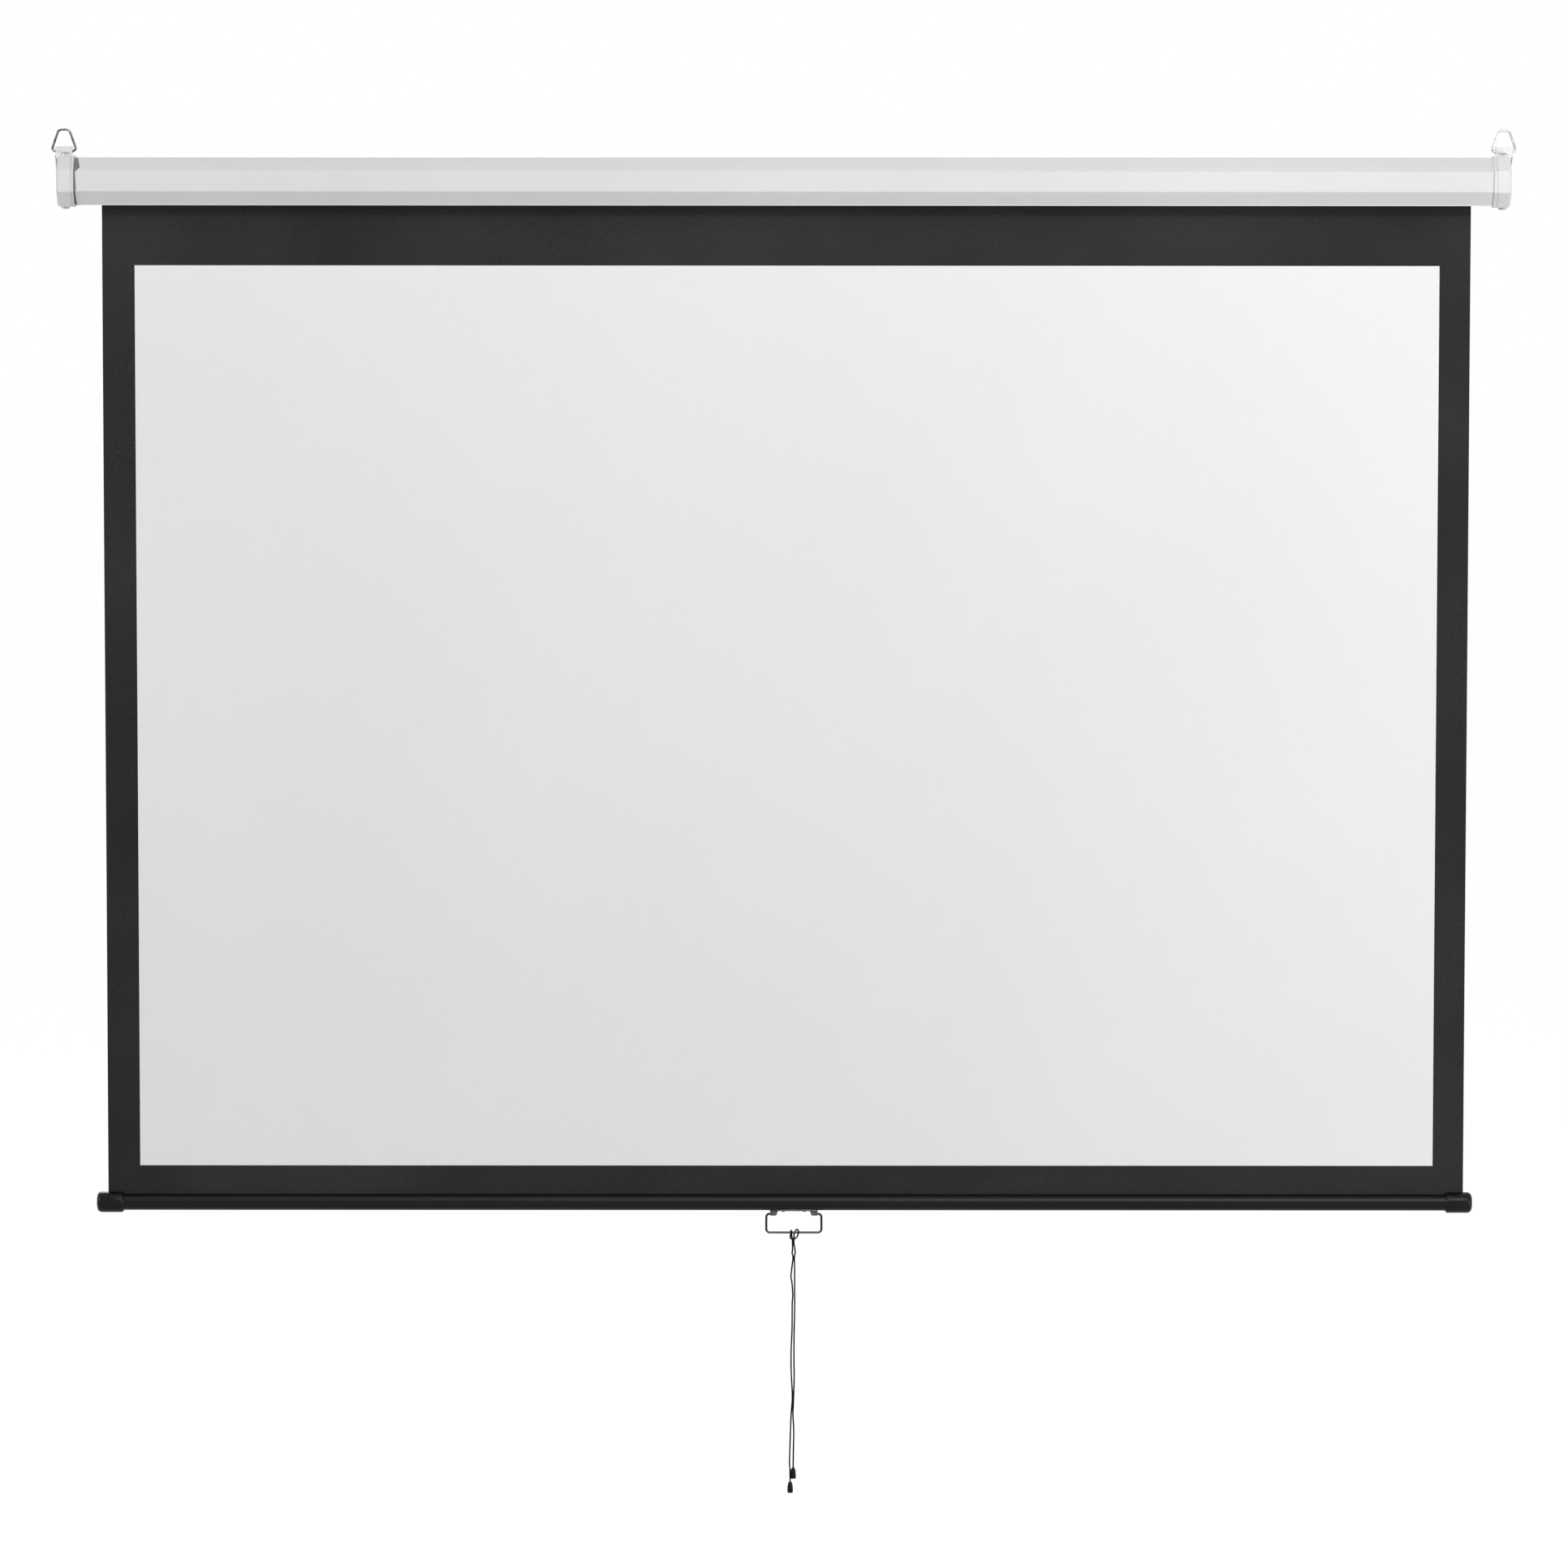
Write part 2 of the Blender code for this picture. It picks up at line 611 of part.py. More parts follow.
def build_hanger_bracket(side, materials):
    """A folded strap: a foot on the cap, a leg down its outer end and an eared tab for the ring."""
    half = BRACKET_WIDTH / 2
    foot_z = CAP_TOP_Z + CLEARANCE
    outer = side * (BRACKET_X + half)
    leg_foot = side * (CAP_OUTER_X + CLEARANCE + BRACKET_SHEET)
    strap = [
        (leg_foot, foot_z + BRACKET_SHEET - LEG_DROP),
        (outer, FOOT_TOP_Z),
        (side * (BRACKET_X - half + BRACKET_BEND), FOOT_TOP_Z),
    ]
    if side > 0:
        strap.reverse()
    path = rounded(strap, BRACKET_BEND)
    section = sheet_section(path, BRACKET_SHEET, TAB_Y - FOOT_FRONT, TAB_Y - BRACKET_SHEET / 2, "Y")
    name = f"{end_name(side)}_hanger_bracket"
    bracket = add_piece(name, section, materials["bracket_white"])
    left, right = side * BRACKET_X - half, side * BRACKET_X + half
    front = TAB_Y - BRACKET_SHEET
    channel = rounded(
        [(left, TAB_Y + EAR_DEPTH), (left, front), (right, front), (right, TAB_Y + EAR_DEPTH)],
        BRACKET_BEND,
    )
    channel.reverse()
    tab = sheet_section(channel, BRACKET_SHEET, FOOT_TOP_Z - BRACKET_SHEET / 2, foot_z + TAB_HEIGHT, "Z")
    join(bracket, tab, f"{name}_tab_guide")
    place = (side * SCREW_X, SCREW_Y)
    hole = rod(SCREW_HOLE_RADIUS, foot_z - CUT_MARGIN, FOOT_TOP_Z + CUT_MARGIN, "Z", 16, place)
    cut(bracket, hole, f"{name}_screw_guide")
    place = (RING_PIVOT_Y, RING_PIVOT_Z)
    pivot = rod(RING_HOLE_RADIUS, left - CUT_MARGIN, right + CUT_MARGIN, "X", 16, place)
    cut(bracket, pivot, f"{name}_pivot_guide")


def build_cap_screw(side, level, materials):
    """A truss-head screw, down through the bracket and cap or up through the cap."""
    dome = [
        (-SCREW_SHANK_LENGTH, SCREW_SHANK_RADIUS * 0.6),
        (-SCREW_SHANK_LENGTH + SCREW_SHANK_RADIUS, SCREW_SHANK_RADIUS),
        (0, SCREW_SHANK_RADIUS),
        (0, SCREW_HEAD_RADIUS),
        (0.3 * SCREW_HEAD_HEIGHT, SCREW_HEAD_RADIUS),
        (0.7 * SCREW_HEAD_HEIGHT, 0.85 * SCREW_HEAD_RADIUS),
        (SCREW_HEAD_HEIGHT, 0.55 * SCREW_HEAD_RADIUS),
    ]
    seat = FOOT_TOP_Z + CLEARANCE if level > 0 else CAP_TOP_Z + CLEARANCE
    name = f"{end_name(side)}_{'top' if level > 0 else 'bottom'}_cap_screw"
    place = (side * SCREW_X, SCREW_Y, level * seat)
    screw = add_piece(name, turned(dome, "Z", 20), materials["zinc"], place)
    wide, long = RECESS_WIDTH / 2, RECESS_LENGTH / 2
    cross = [(wide, wide), (wide, long), (-wide, long), (-wide, wide), (-long, wide), (-long, -wide)]
    cross += [(-x, -y) for x, y in cross]
    recess = prism(cross, SCREW_HEAD_HEIGHT - RECESS_DEPTH, SCREW_HEAD_HEIGHT + CUT_MARGIN, "Z")
    cut(screw, recess, f"{name}_recess_guide")
    if level < 0:
        turn_over = math.pi
        screw.rotation_euler.x = turn_over
        screw.modifiers[0].object.rotation_euler.x = turn_over


def build_hang_ring(side, materials):
    """A wire ring whose two ends sit in the bracket's ears."""
    empty = axis_empty(f"{end_name(side)}_ring_axis", (side * BRACKET_X, RING_PIVOT_Y, RING_PIVOT_Z))
    ear = BRACKET_WIDTH / 2
    half_ring = [
        (ear - BRACKET_SHEET - RING_END, 0, 0),
        (ear + RING_WIRE / 2, 0, 0),
        (RING_SHOULDER_WIDTH / 2, 0, RING_SHOULDER_HEIGHT),
    ]
    crown = (RING_CROWN_WIDTH / 2, 0, RING_HEIGHT)
    start = rounded(half_ring + [crown], RING_CORNER_BEND)[:-1]
    arch = rounded([half_ring[-1], crown, (-crown[0], 0, RING_HEIGHT)], RING_CROWN_BEND, 5)[1:-1]
    right_half = start + arch
    left_half = [Vector((-p.x, p.y, p.z)) for p in reversed(right_half)]
    name = f"{end_name(side)}_hang_ring"
    place = world_place(empty)
    add_wire(name, right_half + left_half, RING_WIRE, materials["nickel"], place, empty, 3)


def build_roller(materials):
    """The turning assembly: tube, both end plugs, the spring's anchor and the inner turns of fabric."""
    empty = axis_empty("roller_axis", (0, ROLLER_Y, 0))
    place = world_place(empty)
    inside = ROLLER_RADIUS - ROLLER_WALL
    tube = sleeve(ROLLER_RADIUS, inside, ROLLER_LEFT_X, ROLLER_RIGHT_X, "X")
    add_piece("roller_tube", tube, materials["zinc"], place, empty)

    turns = sleeve(WOUND_RADIUS, ROLLER_RADIUS + CLEARANCE, SCREEN_LEFT_X, SCREEN_RIGHT_X, "X")
    add_piece("wound_fabric", turns, materials["black_fabric"], place, empty)

    flange = ROLLER_LEFT_X - CLEARANCE
    profile = [
        (flange - PLUG_FLANGE, ROLLER_RADIUS),
        (flange, ROLLER_RADIUS),
        (flange, PLUG_RADIUS),
        (ROLLER_LEFT_X + PLUG_DEPTH, PLUG_RADIUS),
        (ROLLER_LEFT_X + PLUG_DEPTH, SHAFT_BORE_RADIUS),
        (flange - PLUG_FLANGE, SHAFT_BORE_RADIUS),
    ]
    plug = add_piece("spring_end_plug", turned(profile, "X", 32, True), materials["nylon"], place, empty)

    anchor_start = -PLATE_INNER_X + SHAFT_LENGTH - ANCHOR_LENGTH / 2
    anchor = sleeve(PLUG_RADIUS, SHAFT_BORE_RADIUS, anchor_start, anchor_start + ANCHOR_LENGTH, "X")
    add_piece("spring_anchor_plug", anchor, materials["nylon"], place, empty)

    flange = ROLLER_RIGHT_X + CLEARANCE
    profile = [
        (ROLLER_RIGHT_X - PLUG_DEPTH, PLUG_RADIUS),
        (flange, PLUG_RADIUS),
        (flange, ROLLER_RADIUS),
        (flange + IDLE_FLANGE, ROLLER_RADIUS),
        (flange + IDLE_FLANGE, IDLE_PIN_RADIUS),
        (PLATE_OUTER_X, IDLE_PIN_RADIUS),
    ]
    add_piece("idle_end_plug", turned(profile, "X"), materials["nylon"], place, empty)
    for number, level in ((1, 1), (2, -1)):
        build_pawl(number, level, plug, empty, materials)


def build_pawl(number, level, plug, empty, materials):
    """One of two pawls, on a pin that is set into the end plug's flange."""
    flange = ROLLER_LEFT_X - CLEARANCE - PLUG_FLANGE
    pin_end = RATCHET_OUTER_X - 2 * CLEARANCE
    centre = (0, level * PAWL_PIVOT_RADIUS)
    bore = PAWL_PIN_RADIUS + CLEARANCE
    seat = rod(bore, flange - CUT_MARGIN, flange + PLUG_FLANGE / 2, "X", 12, centre)
    cut(plug, seat, f"pawl_pin_seat_guide_{number}")
    pin = rod(PAWL_PIN_RADIUS, pin_end, flange + PLUG_FLANGE / 2 - CLEARANCE, "X", 12, centre)
    add_piece(f"pawl_pin_{number}", pin, materials["zinc"], world_place(empty), empty)

    place = world_place(empty) + Vector((0, 0, level * PAWL_PIVOT_RADIUS))
    axis = axis_empty(f"pawl_{number}_axis", place, empty)
    start, end = RATCHET_OUTER_X, RATCHET_OUTER_X + RATCHET_THICKNESS
    hub_steps = 12
    half = PAWL_WIDTH / 2
    spread = math.asin(half / PAWL_HUB_RADIUS)
    sweep = 2 * (math.pi - spread)
    turns = [spread + sweep * i / hub_steps for i in range(hub_steps + 1)]
    outline = [(PAWL_HUB_RADIUS * math.cos(a), PAWL_HUB_RADIUS * math.sin(a)) for a in turns]
    outline += [(PAWL_LENGTH, -half), (PAWL_LENGTH, half)]
    pawl = prism(turn_outline(outline, PAWL_REST_ANGLE, level), start, end, "X")
    piece = add_piece(f"pawl_{number}", pawl, materials["steel"], place, axis)
    hole = rod(bore, start - CUT_MARGIN, end + CUT_MARGIN, "X", 12)
    cut(piece, hole, f"pawl_bore_guide_{number}")


def turn_outline(outline, angle, level):
    """An outline turned by an angle, and by a half turn more for the lower of two."""
    cos, sin = level * math.cos(angle), level * math.sin(angle)
    return [(u * cos - v * sin, u * sin + v * cos) for u, v in outline]


def build_spring_motor(materials):
    """The still parts inside the roller: the shaft with its flat tang, the ratchet and the spring."""
    axis = (0, ROLLER_Y, 0)
    shaft_start = -PLATE_INNER_X + CLEARANCE
    shaft_end = -PLATE_INNER_X + SHAFT_LENGTH
    core = rod(SHAFT_RADIUS, shaft_start, shaft_end, "X", 20)
    shaft = add_piece("spring_shaft", core, materials["steel"], axis)
    tang_half = (TANG_WIDTH / 2, TANG_HEIGHT / 2)
    tang = box((-PLATE_OUTER_X, -tang_half[0], -tang_half[1]), (shaft_start + TANG_ROOT, *tang_half))
    join(shaft, tang, "shaft_tang_guide")

    start, end = RATCHET_OUTER_X, RATCHET_OUTER_X + RATCHET_THICKNESS
    ratchet = sleeve(RATCHET_RADIUS, SHAFT_BORE_RADIUS, start, end, "X", 28)
    disc = add_piece("ratchet_disc", ratchet, materials["steel"], axis)
    for number, level in ((1, 1), (2, -1)):
        half = PAWL_WIDTH / 2 + CLEARANCE
        tip = PAWL_LENGTH + CLEARANCE
        outline = [(-tip, -half), (tip, -half), (tip, half), (-tip, half)]
        outline = turn_outline(outline, PAWL_REST_ANGLE + PAWL_CATCH_ANGLE, level)
        outline = [(u, v + level * PAWL_PIVOT_RADIUS) for u, v in outline]
        notch = prism(outline, start - CUT_MARGIN, end + CUT_MARGIN, "X")
        cut(disc, notch, f"ratchet_notch_guide_{number}")

    per_turn = 8
    spring_end = shaft_end - ANCHOR_LENGTH / 2 - CLEARANCE - SPRING_WIRE / 2
    spring_start = spring_end - SPRING_LENGTH
    steps = SPRING_TURNS * per_turn
    helix = [
        (
            spring_start + SPRING_LENGTH * i / steps,
            SPRING_RADIUS * math.cos(2 * math.pi * i / per_turn),
            SPRING_RADIUS * math.sin(2 * math.pi * i / per_turn),
        )
        for i in range(steps + 1)
    ]
    add_wire("torsion_spring", helix, SPRING_WIRE, materials["steel"], axis, None, 1)


def build_screen(materials):
    """The hanging fabric, and the white image area on its front."""
    half = FABRIC_THICKNESS / 2
    fabric = box((SCREEN_LEFT_X, -half, SCREEN_BOTTOM_Z), (SCREEN_RIGHT_X, half, 0))
    add_piece("screen_fabric", fabric, materials["black_fabric"], (0, SCREEN_Y, 0))
    front = -half - CLEARANCE
    white = box(
        (SCREEN_LEFT_X + BORDER_LEFT, front - COATING_THICKNESS, IMAGE_BOTTOM_Z),
        (SCREEN_RIGHT_X - BORDER_RIGHT, front, -BORDER_TOP),
    )
    add_piece("image_surface", white, materials["white_fabric"], (0, SCREEN_Y, 0))


def build_bottom_bar(materials):
    """The slotted tube, the spline that holds the fabric in it, and both caps."""
    empty = axis_empty("bottom_bar_slide", (0, SCREEN_Y, BAR_Z))
    place = world_place(empty)
    gap = math.asin(SLIT_WIDTH / 2 / BAR_RADIUS)
    steps = 32
    turns = [math.pi / 2 - gap - (2 * math.pi - 2 * gap) * i / steps for i in range(steps + 1)]
    path = [Vector((BAR_RADIUS * math.cos(a), BAR_RADIUS * math.sin(a), 0)) for a in turns]
    seat = BAR_CAP_END + CLEARANCE
    tube = sheet_section(path, BAR_WALL, BAR_LEFT_X + seat, BAR_RIGHT_X - seat, "X")
    bar = add_piece("bar_tube", tube, materials["black_paint"], place, empty)

    spline = rod(SPLINE_RADIUS, SCREEN_LEFT_X, SCREEN_RIGHT_X, "X", 12)
    spline_place = place + Vector((0, 0, SPLINE_Z - BAR_Z))
    add_piece("fabric_spline", spline, materials["nylon"], spline_place, empty)
    build_bar_cap(-1, BAR_LEFT_X, SCREEN_LEFT_X, empty, materials)
    build_bar_cap(1, BAR_RIGHT_X, SCREEN_RIGHT_X, empty, materials)
    build_handle_clip(bar, empty, materials)


def build_bar_cap(side, end_x, screen_edge_x, empty, materials):
    """A domed plug cap that slides over the tube, slit on top for the fabric's corner."""
    bore = BAR_RADIUS + CLEARANCE
    flat_face = BAR_CAP_RADIUS - BAR_CAP_ROUND
    arc = [math.pi / 2 * i / 5 for i in range(6)]
    profile = [
        (BAR_CAP_ROUND * (1 - math.sin(a)), flat_face + BAR_CAP_ROUND * math.cos(a)) for a in reversed(arc)
    ]
    profile += [
        (BAR_CAP_LENGTH - BAR_CAP_TAPER, BAR_CAP_RADIUS),
        (BAR_CAP_LENGTH, bore + CLEARANCE),
        (BAR_CAP_LENGTH, bore),
        (BAR_CAP_END, bore),
    ]
    profile = [(end_x - side * depth, radius) for depth, radius in profile]
    name = f"{end_name(side)}_bar_cap"
    cap = add_piece(name, turned(profile, "X"), materials["black_plastic"], world_place(empty), empty)
    mouth = end_x - side * (BAR_CAP_LENGTH + CUT_MARGIN)
    start, end = sorted((mouth, screen_edge_x + side * CLEARANCE))
    half = SLIT_WIDTH / 2
    slit = box((start, -half, bore - CAP_SLIT_ROOT), (end, half, BAR_CAP_RADIUS + CUT_MARGIN))
    cut(cap, slit, f"{name}_slit_guide")


def build_handle_clip(bar, empty, materials):
    """A saddle under the tube with an ear at each end, and the two rivets through it."""
    place = world_place(empty) + Vector((HANDLE_X, 0, 0))
    half = CLIP_LENGTH / 2
    steps = 10
    turns = [CLIP_HALF_ANGLE * (2 * i / steps - 1) for i in range(steps + 1)]
    arc = [CLIP_OUTER_RADIUS * Vector((math.sin(a), -math.cos(a), 0)) for a in reversed(turns)]
    saddle = sheet_section(arc, CLIP_SHEET, -half, half, "X")
    clip = add_piece("handle_clip", saddle, materials["zinc"], place, empty)
    bottom = -BAIL_DROP - BAIL_HOLE_RADIUS - EAR_WALL
    top = -CLIP_OUTER_RADIUS + CLIP_SHEET / 2
    end = half - EAR_INSET
    for side in (-1, 1):
        outline = [
            (side * end, top),
            (side * end, bottom),
            (side * (end - EAR_LENGTH), bottom),
            (side * (end - EAR_LENGTH - EAR_SLANT), top),
        ]
        depth = BAIL_HOLE_RADIUS + EAR_WALL
        join(clip, prism(outline, -depth, depth, "Y"), f"{end_name(side)}_ear_guide")
    pivot = rod(BAIL_HOLE_RADIUS, -half - CUT_MARGIN, half + CUT_MARGIN, "X", 16, (0, -BAIL_DROP))
    cut(clip, pivot, "bail_pivot_guide")

    hole = RIVET_RADIUS + CLEARANCE
    tail = 1.5 * RIVET_RADIUS
    inside = -math.sqrt((BAR_RADIUS - BAR_WALL - CLEARANCE) ** 2 - tail**2)
    outside = -CLIP_OUTER_RADIUS - CLEARANCE
    profile = [
        (outside - RIVET_HEAD_HEIGHT, 0.6 * RIVET_HEAD_RADIUS),
        (outside, RIVET_HEAD_RADIUS),
        (outside, RIVET_RADIUS),
        (inside, RIVET_RADIUS),
        (inside, tail),
        (inside + RIVET_HEAD_HEIGHT, 0.85 * tail),
    ]
    for number, side in ((1, -1), (2, 1)):
        x = side * RIVET_SPACING / 2
        for piece, shift in ((clip, 0), (bar, HANDLE_X)):
            passage = rod(hole, outside - CUT_MARGIN, inside + CUT_MARGIN, "Z", 12, (x + shift, 0))
            cut(piece, passage, f"rivet_guide_{number}_{piece.name}")
        rivet = turned(profile, "Z", 12)
        rivet_place = place + Vector((x, 0, 0))
        add_piece(f"clip_rivet_{number}", rivet, materials["steel"], rivet_place, empty)


def build_handle(bar_empty, materials):
    """The wire bail that hangs in the clip's ears, and the cord below it."""
    axis = axis_empty("handle_axis", (HANDLE_X, SCREEN_Y, BAIL_Z), bar_empty)
    half = BAIL_WIDTH / 2
    inner = CLIP_LENGTH / 2 - BAIL_END_IN
    corners = [
        (-inner, 0, 0),
        (-half, 0, 0),
        (-half, 0, -BAIL_HEIGHT),
        (half, 0, -BAIL_HEIGHT),
        (half, 0, 0),
        (inner, 0, 0),
    ]
    path = rounded(corners, BAIL_BEND, 5)
    add_wire("handle_bail", path, BAIL_WIRE, materials["dark_nickel"], world_place(axis), axis, 3)
    build_pull_cord(axis, materials)


def build_pull_cord(handle_axis, materials):
    """The hitch around the wire, its two strands and their bells."""
    axis = axis_empty("cord_axis", (CORD_X, SCREEN_Y, CORD_Z), handle_axis)
    place = world_place(axis)
    turns = [math.pi * i / 8 for i in range(9)]
    swell = KNOT_RADIUS - KNOT_END_RADIUS
    knot = [
        (-KNOT_DROP - KNOT_HEIGHT * (1 - math.cos(a)) / 2, KNOT_END_RADIUS + swell * math.sin(a))
        for a in turns
    ]
    hitch = add_piece("cord_hitch", turned(knot, "Z", 16), materials["black_cord"], place, axis)
    middle = KNOT_DROP + KNOT_HEIGHT / 2
    for number, (front_x, back_x) in enumerate(HITCH_LOOPS, 1):
        corners = [
            (0, -CORD_DIAMETER / 2, -middle),
            (front_x, -HITCH_RADIUS, -HITCH_RADIUS / 2),
            (front_x, -HITCH_RADIUS, HITCH_RADIUS),
            (back_x, HITCH_RADIUS, HITCH_RADIUS),
            (back_x, HITCH_RADIUS, -HITCH_RADIUS / 2),
            (0, CORD_DIAMETER / 2, -middle),
        ]
        loop = swept(rounded(corners, 0.6 * HITCH_RADIUS, 4), CORD_DIAMETER / 2)
        join(hitch, loop, f"hitch_loop_guide_{number}")
    cord_end = -KNOT_DROP - KNOT_HEIGHT - CLEARANCE
    for side, route in ((-1, LEFT_STRAND), (1, RIGHT_STRAND)):
        start = Vector((route[0][0], route[0][1], cord_end))
        points = smooth_route([start, *route[1:]], STRAND_POINTS)
        strand = f"cord_strand_{end_name(side)}"
        add_wire(strand, points, CORD_DIAMETER, materials["black_cord"], place, axis)
        build_bell(side, Vector(route[-1]), axis, materials)


def build_bell(side, end, axis, materials):
    """The turned weight on a strand's end."""
    top = -CLEARANCE
    profile = [
        (top, 0.7 * BELL_TOP_RADIUS),
        (top - 0.06 * BELL_HEIGHT, BELL_TOP_RADIUS),
        (top - 0.35 * BELL_HEIGHT, 0.78 * BELL_RADIUS),
        (top - 0.92 * BELL_HEIGHT, BELL_RADIUS),
        (top - BELL_HEIGHT, 0.9 * BELL_RADIUS),
    ]
    name = f"cord_bell_{end_name(side)}"
    bell = turned(profile, "Z", 20)
    add_piece(name, bell, materials["black_plastic"], world_place(axis) + end, axis)


def clear_scene():
    for obj in list(bpy.data.objects):
        bpy.data.objects.remove(obj)


clear_scene()
MATERIALS = {
    "powder_coat": make_material("powder_coat", (0.80, 0.80, 0.79), 0.45),
    "white_plastic": make_material("white_plastic", (0.84, 0.84, 0.83), 0.35),
    "bracket_white": make_material("bracket_white", (0.86, 0.86, 0.86), 0.4),
    "zinc": make_material("zinc", (0.45, 0.45, 0.46), 0.35, 1.0),
    "steel": make_material("steel", (0.35, 0.35, 0.36), 0.4, 1.0),
    "nickel": make_material("nickel", (0.62, 0.61, 0.60), 0.2, 1.0),
    "dark_nickel": make_material("dark_nickel", (0.10, 0.096, 0.09), 0.25, 1.0),
    "nylon": make_material("nylon", (0.70, 0.69, 0.65), 0.5),
    "black_fabric": make_material("black_fabric", (0.035, 0.037, 0.037), 0.8),
    "white_fabric": make_material("white_fabric", (0.82, 0.82, 0.82), 0.75),
    "black_paint": make_material("black_paint", (0.015, 0.015, 0.016), 0.35),
    "black_plastic": make_material("black_plastic", (0.012, 0.012, 0.013), 0.4),
    "black_cord": make_material("black_cord", (0.01, 0.01, 0.01), 0.85),
}
build_casing(MATERIALS)
for END in (-1, 1):
    build_end_cap(END, MATERIALS)
    build_bearing_plate(END, MATERIALS)
    build_hanger_bracket(END, MATERIALS)
    build_hang_ring(END, MATERIALS)
    for LEVEL in (-1, 1):
        build_cap_screw(END, LEVEL, MATERIALS)
build_idle_bush(MATERIALS)
build_roller(MATERIALS)
build_spring_motor(MATERIALS)
build_screen(MATERIALS)
build_bottom_bar(MATERIALS)
build_handle(bpy.data.objects["bottom_bar_slide"], MATERIALS)
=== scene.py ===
import math

import bmesh
import bpy
from mathutils import Matrix, Vector


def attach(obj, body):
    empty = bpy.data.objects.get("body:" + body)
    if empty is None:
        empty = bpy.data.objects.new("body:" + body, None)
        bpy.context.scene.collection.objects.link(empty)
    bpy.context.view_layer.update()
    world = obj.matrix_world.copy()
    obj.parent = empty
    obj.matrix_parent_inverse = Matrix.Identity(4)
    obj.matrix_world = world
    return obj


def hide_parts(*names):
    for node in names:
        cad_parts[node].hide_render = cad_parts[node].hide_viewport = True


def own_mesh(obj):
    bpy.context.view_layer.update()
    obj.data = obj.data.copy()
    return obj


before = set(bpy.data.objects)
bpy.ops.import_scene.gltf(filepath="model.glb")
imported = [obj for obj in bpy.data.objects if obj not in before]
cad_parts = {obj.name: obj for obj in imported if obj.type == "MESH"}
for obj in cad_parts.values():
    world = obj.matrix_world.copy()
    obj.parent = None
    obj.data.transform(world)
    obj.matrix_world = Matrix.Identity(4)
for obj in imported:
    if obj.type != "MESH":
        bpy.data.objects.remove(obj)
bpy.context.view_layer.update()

# The casing is an octagonal section folded from 1 mm steel and powder coated white. It is open
# below for the screen, with both edges of the slot turned in, and its left end is cut unevenly.
CASING_HALF_LENGTH = 1.0554
CASING_WALL = 0.001
CASING_AXIS_Y = -0.035
CASING_FOLDS = [
    (-0.0360, -0.0310, 0.0015),
    (-0.0360, -0.0350, 0.0015),
    (-0.0508, -0.0350, 0.0004),
    (-0.0508, -0.0337, 0.0004),
    (-0.0700, -0.0145, 0.0012),
    (-0.0700, 0.0145, 0.0012),
    (-0.0495, 0.0350, 0.0030),
    (-0.0205, 0.0350, 0.0020),
    (0.0000, 0.0145, 0.0020),
    (0.0000, -0.0145, 0.0020),
    (-0.0110, -0.0255, 0.0015),
    (-0.0138, -0.0227, 0.0015),
]
CASING_CUT = [
    (0.0361, -1.0289),
    (0.0200, -1.0244),
    (0.0137, -1.0316),
    (-0.0117, -1.0300),
    (-0.0145, -1.0314),
    (-0.0361, -1.0298),
]
CASING_CUT_BACK_Y = -0.0503
DULL_SPOT_PLACE = (0.326, -0.061, -0.026)
DULL_SPOT_SIZE = (0.022, 0.012, 0.006)


def add(material, kind, feeds=None, **settings):
    """A node with its settings. Each input takes a value, or another node's output."""
    made = material.node_tree.nodes.new(kind)
    for key, value in settings.items():
        setattr(made, key, value)
    for key, value in (feeds or {}).items():
        if isinstance(value, bpy.types.NodeSocket):
            material.node_tree.links.new(value, made.inputs[key])
        else:
            made.inputs[key].default_value = value
    return made


def blend_tints(material, fac, low, high, ends):
    """A colour that goes from one tint to another as a number goes from end to end."""
    ramp = add(material, "ShaderNodeValToRGB", {"Fac": fac})
    for stop, place, tint in zip(ramp.color_ramp.elements, ends, (low, high)):
        stop.position = place
        stop.color = (*tint, 1)
    return ramp.outputs["Color"]


def finish(name, tints, rough, *, clouds, metallic=0.0, shine=0.5, grain=900.0, bump=0.1):
    """A finish whose tint and gloss drift in soft clouds and fine specks, over a fine grain."""
    material = bpy.data.materials.new(name)
    material.use_nodes = True
    shader = material.node_tree.nodes["Principled BSDF"]
    shader.inputs["Metallic"].default_value = metallic
    shader.inputs["Specular IOR Level"].default_value = shine
    place = add(material, "ShaderNodeTexCoord").outputs["Object"]
    cloud = add(material, "ShaderNodeTexNoise", {"Vector": place, "Scale": clouds, "Detail": 4.0})
    fine = add(material, "ShaderNodeTexNoise", {"Vector": place, "Scale": grain, "Detail": 3.0})
    mottle = add(
        material, "ShaderNodeMix", {"Factor": 0.45, "A": cloud.outputs["Fac"], "B": fine.outputs["Fac"]}
    )
    tint = blend_tints(material, mottle.outputs["Result"], tints[0], tints[1], (0.4, 0.6))
    gloss = add(
        material,
        "ShaderNodeMapRange",
        {"Value": cloud.outputs["Fac"], "To Min": rough - 0.05, "To Max": rough + 0.05},
    )
    relief = add(
        material,
        "ShaderNodeBump",
        {"Height": fine.outputs["Fac"], "Strength": bump, "Distance": 0.0003},
    )
    links = material.node_tree.links
    links.new(tint, shader.inputs["Base Color"])
    links.new(gloss.outputs["Result"], shader.inputs["Roughness"])
    links.new(relief.outputs["Normal"], shader.inputs["Normal"])
    return material


def tint_over(material, over, share=1.0, way="MULTIPLY"):
    """Lays a second tint over a finish, either multiplied in or mixed in."""
    base = material.node_tree.nodes["Principled BSDF"].inputs["Base Color"]
    mixed = add(
        material,
        "ShaderNodeMix",
        {0: share, 6: base.links[0].from_socket, 7: over},
        data_type="RGBA",
        blend_type=way,
    )
    material.node_tree.links.new(mixed.outputs[2], base)


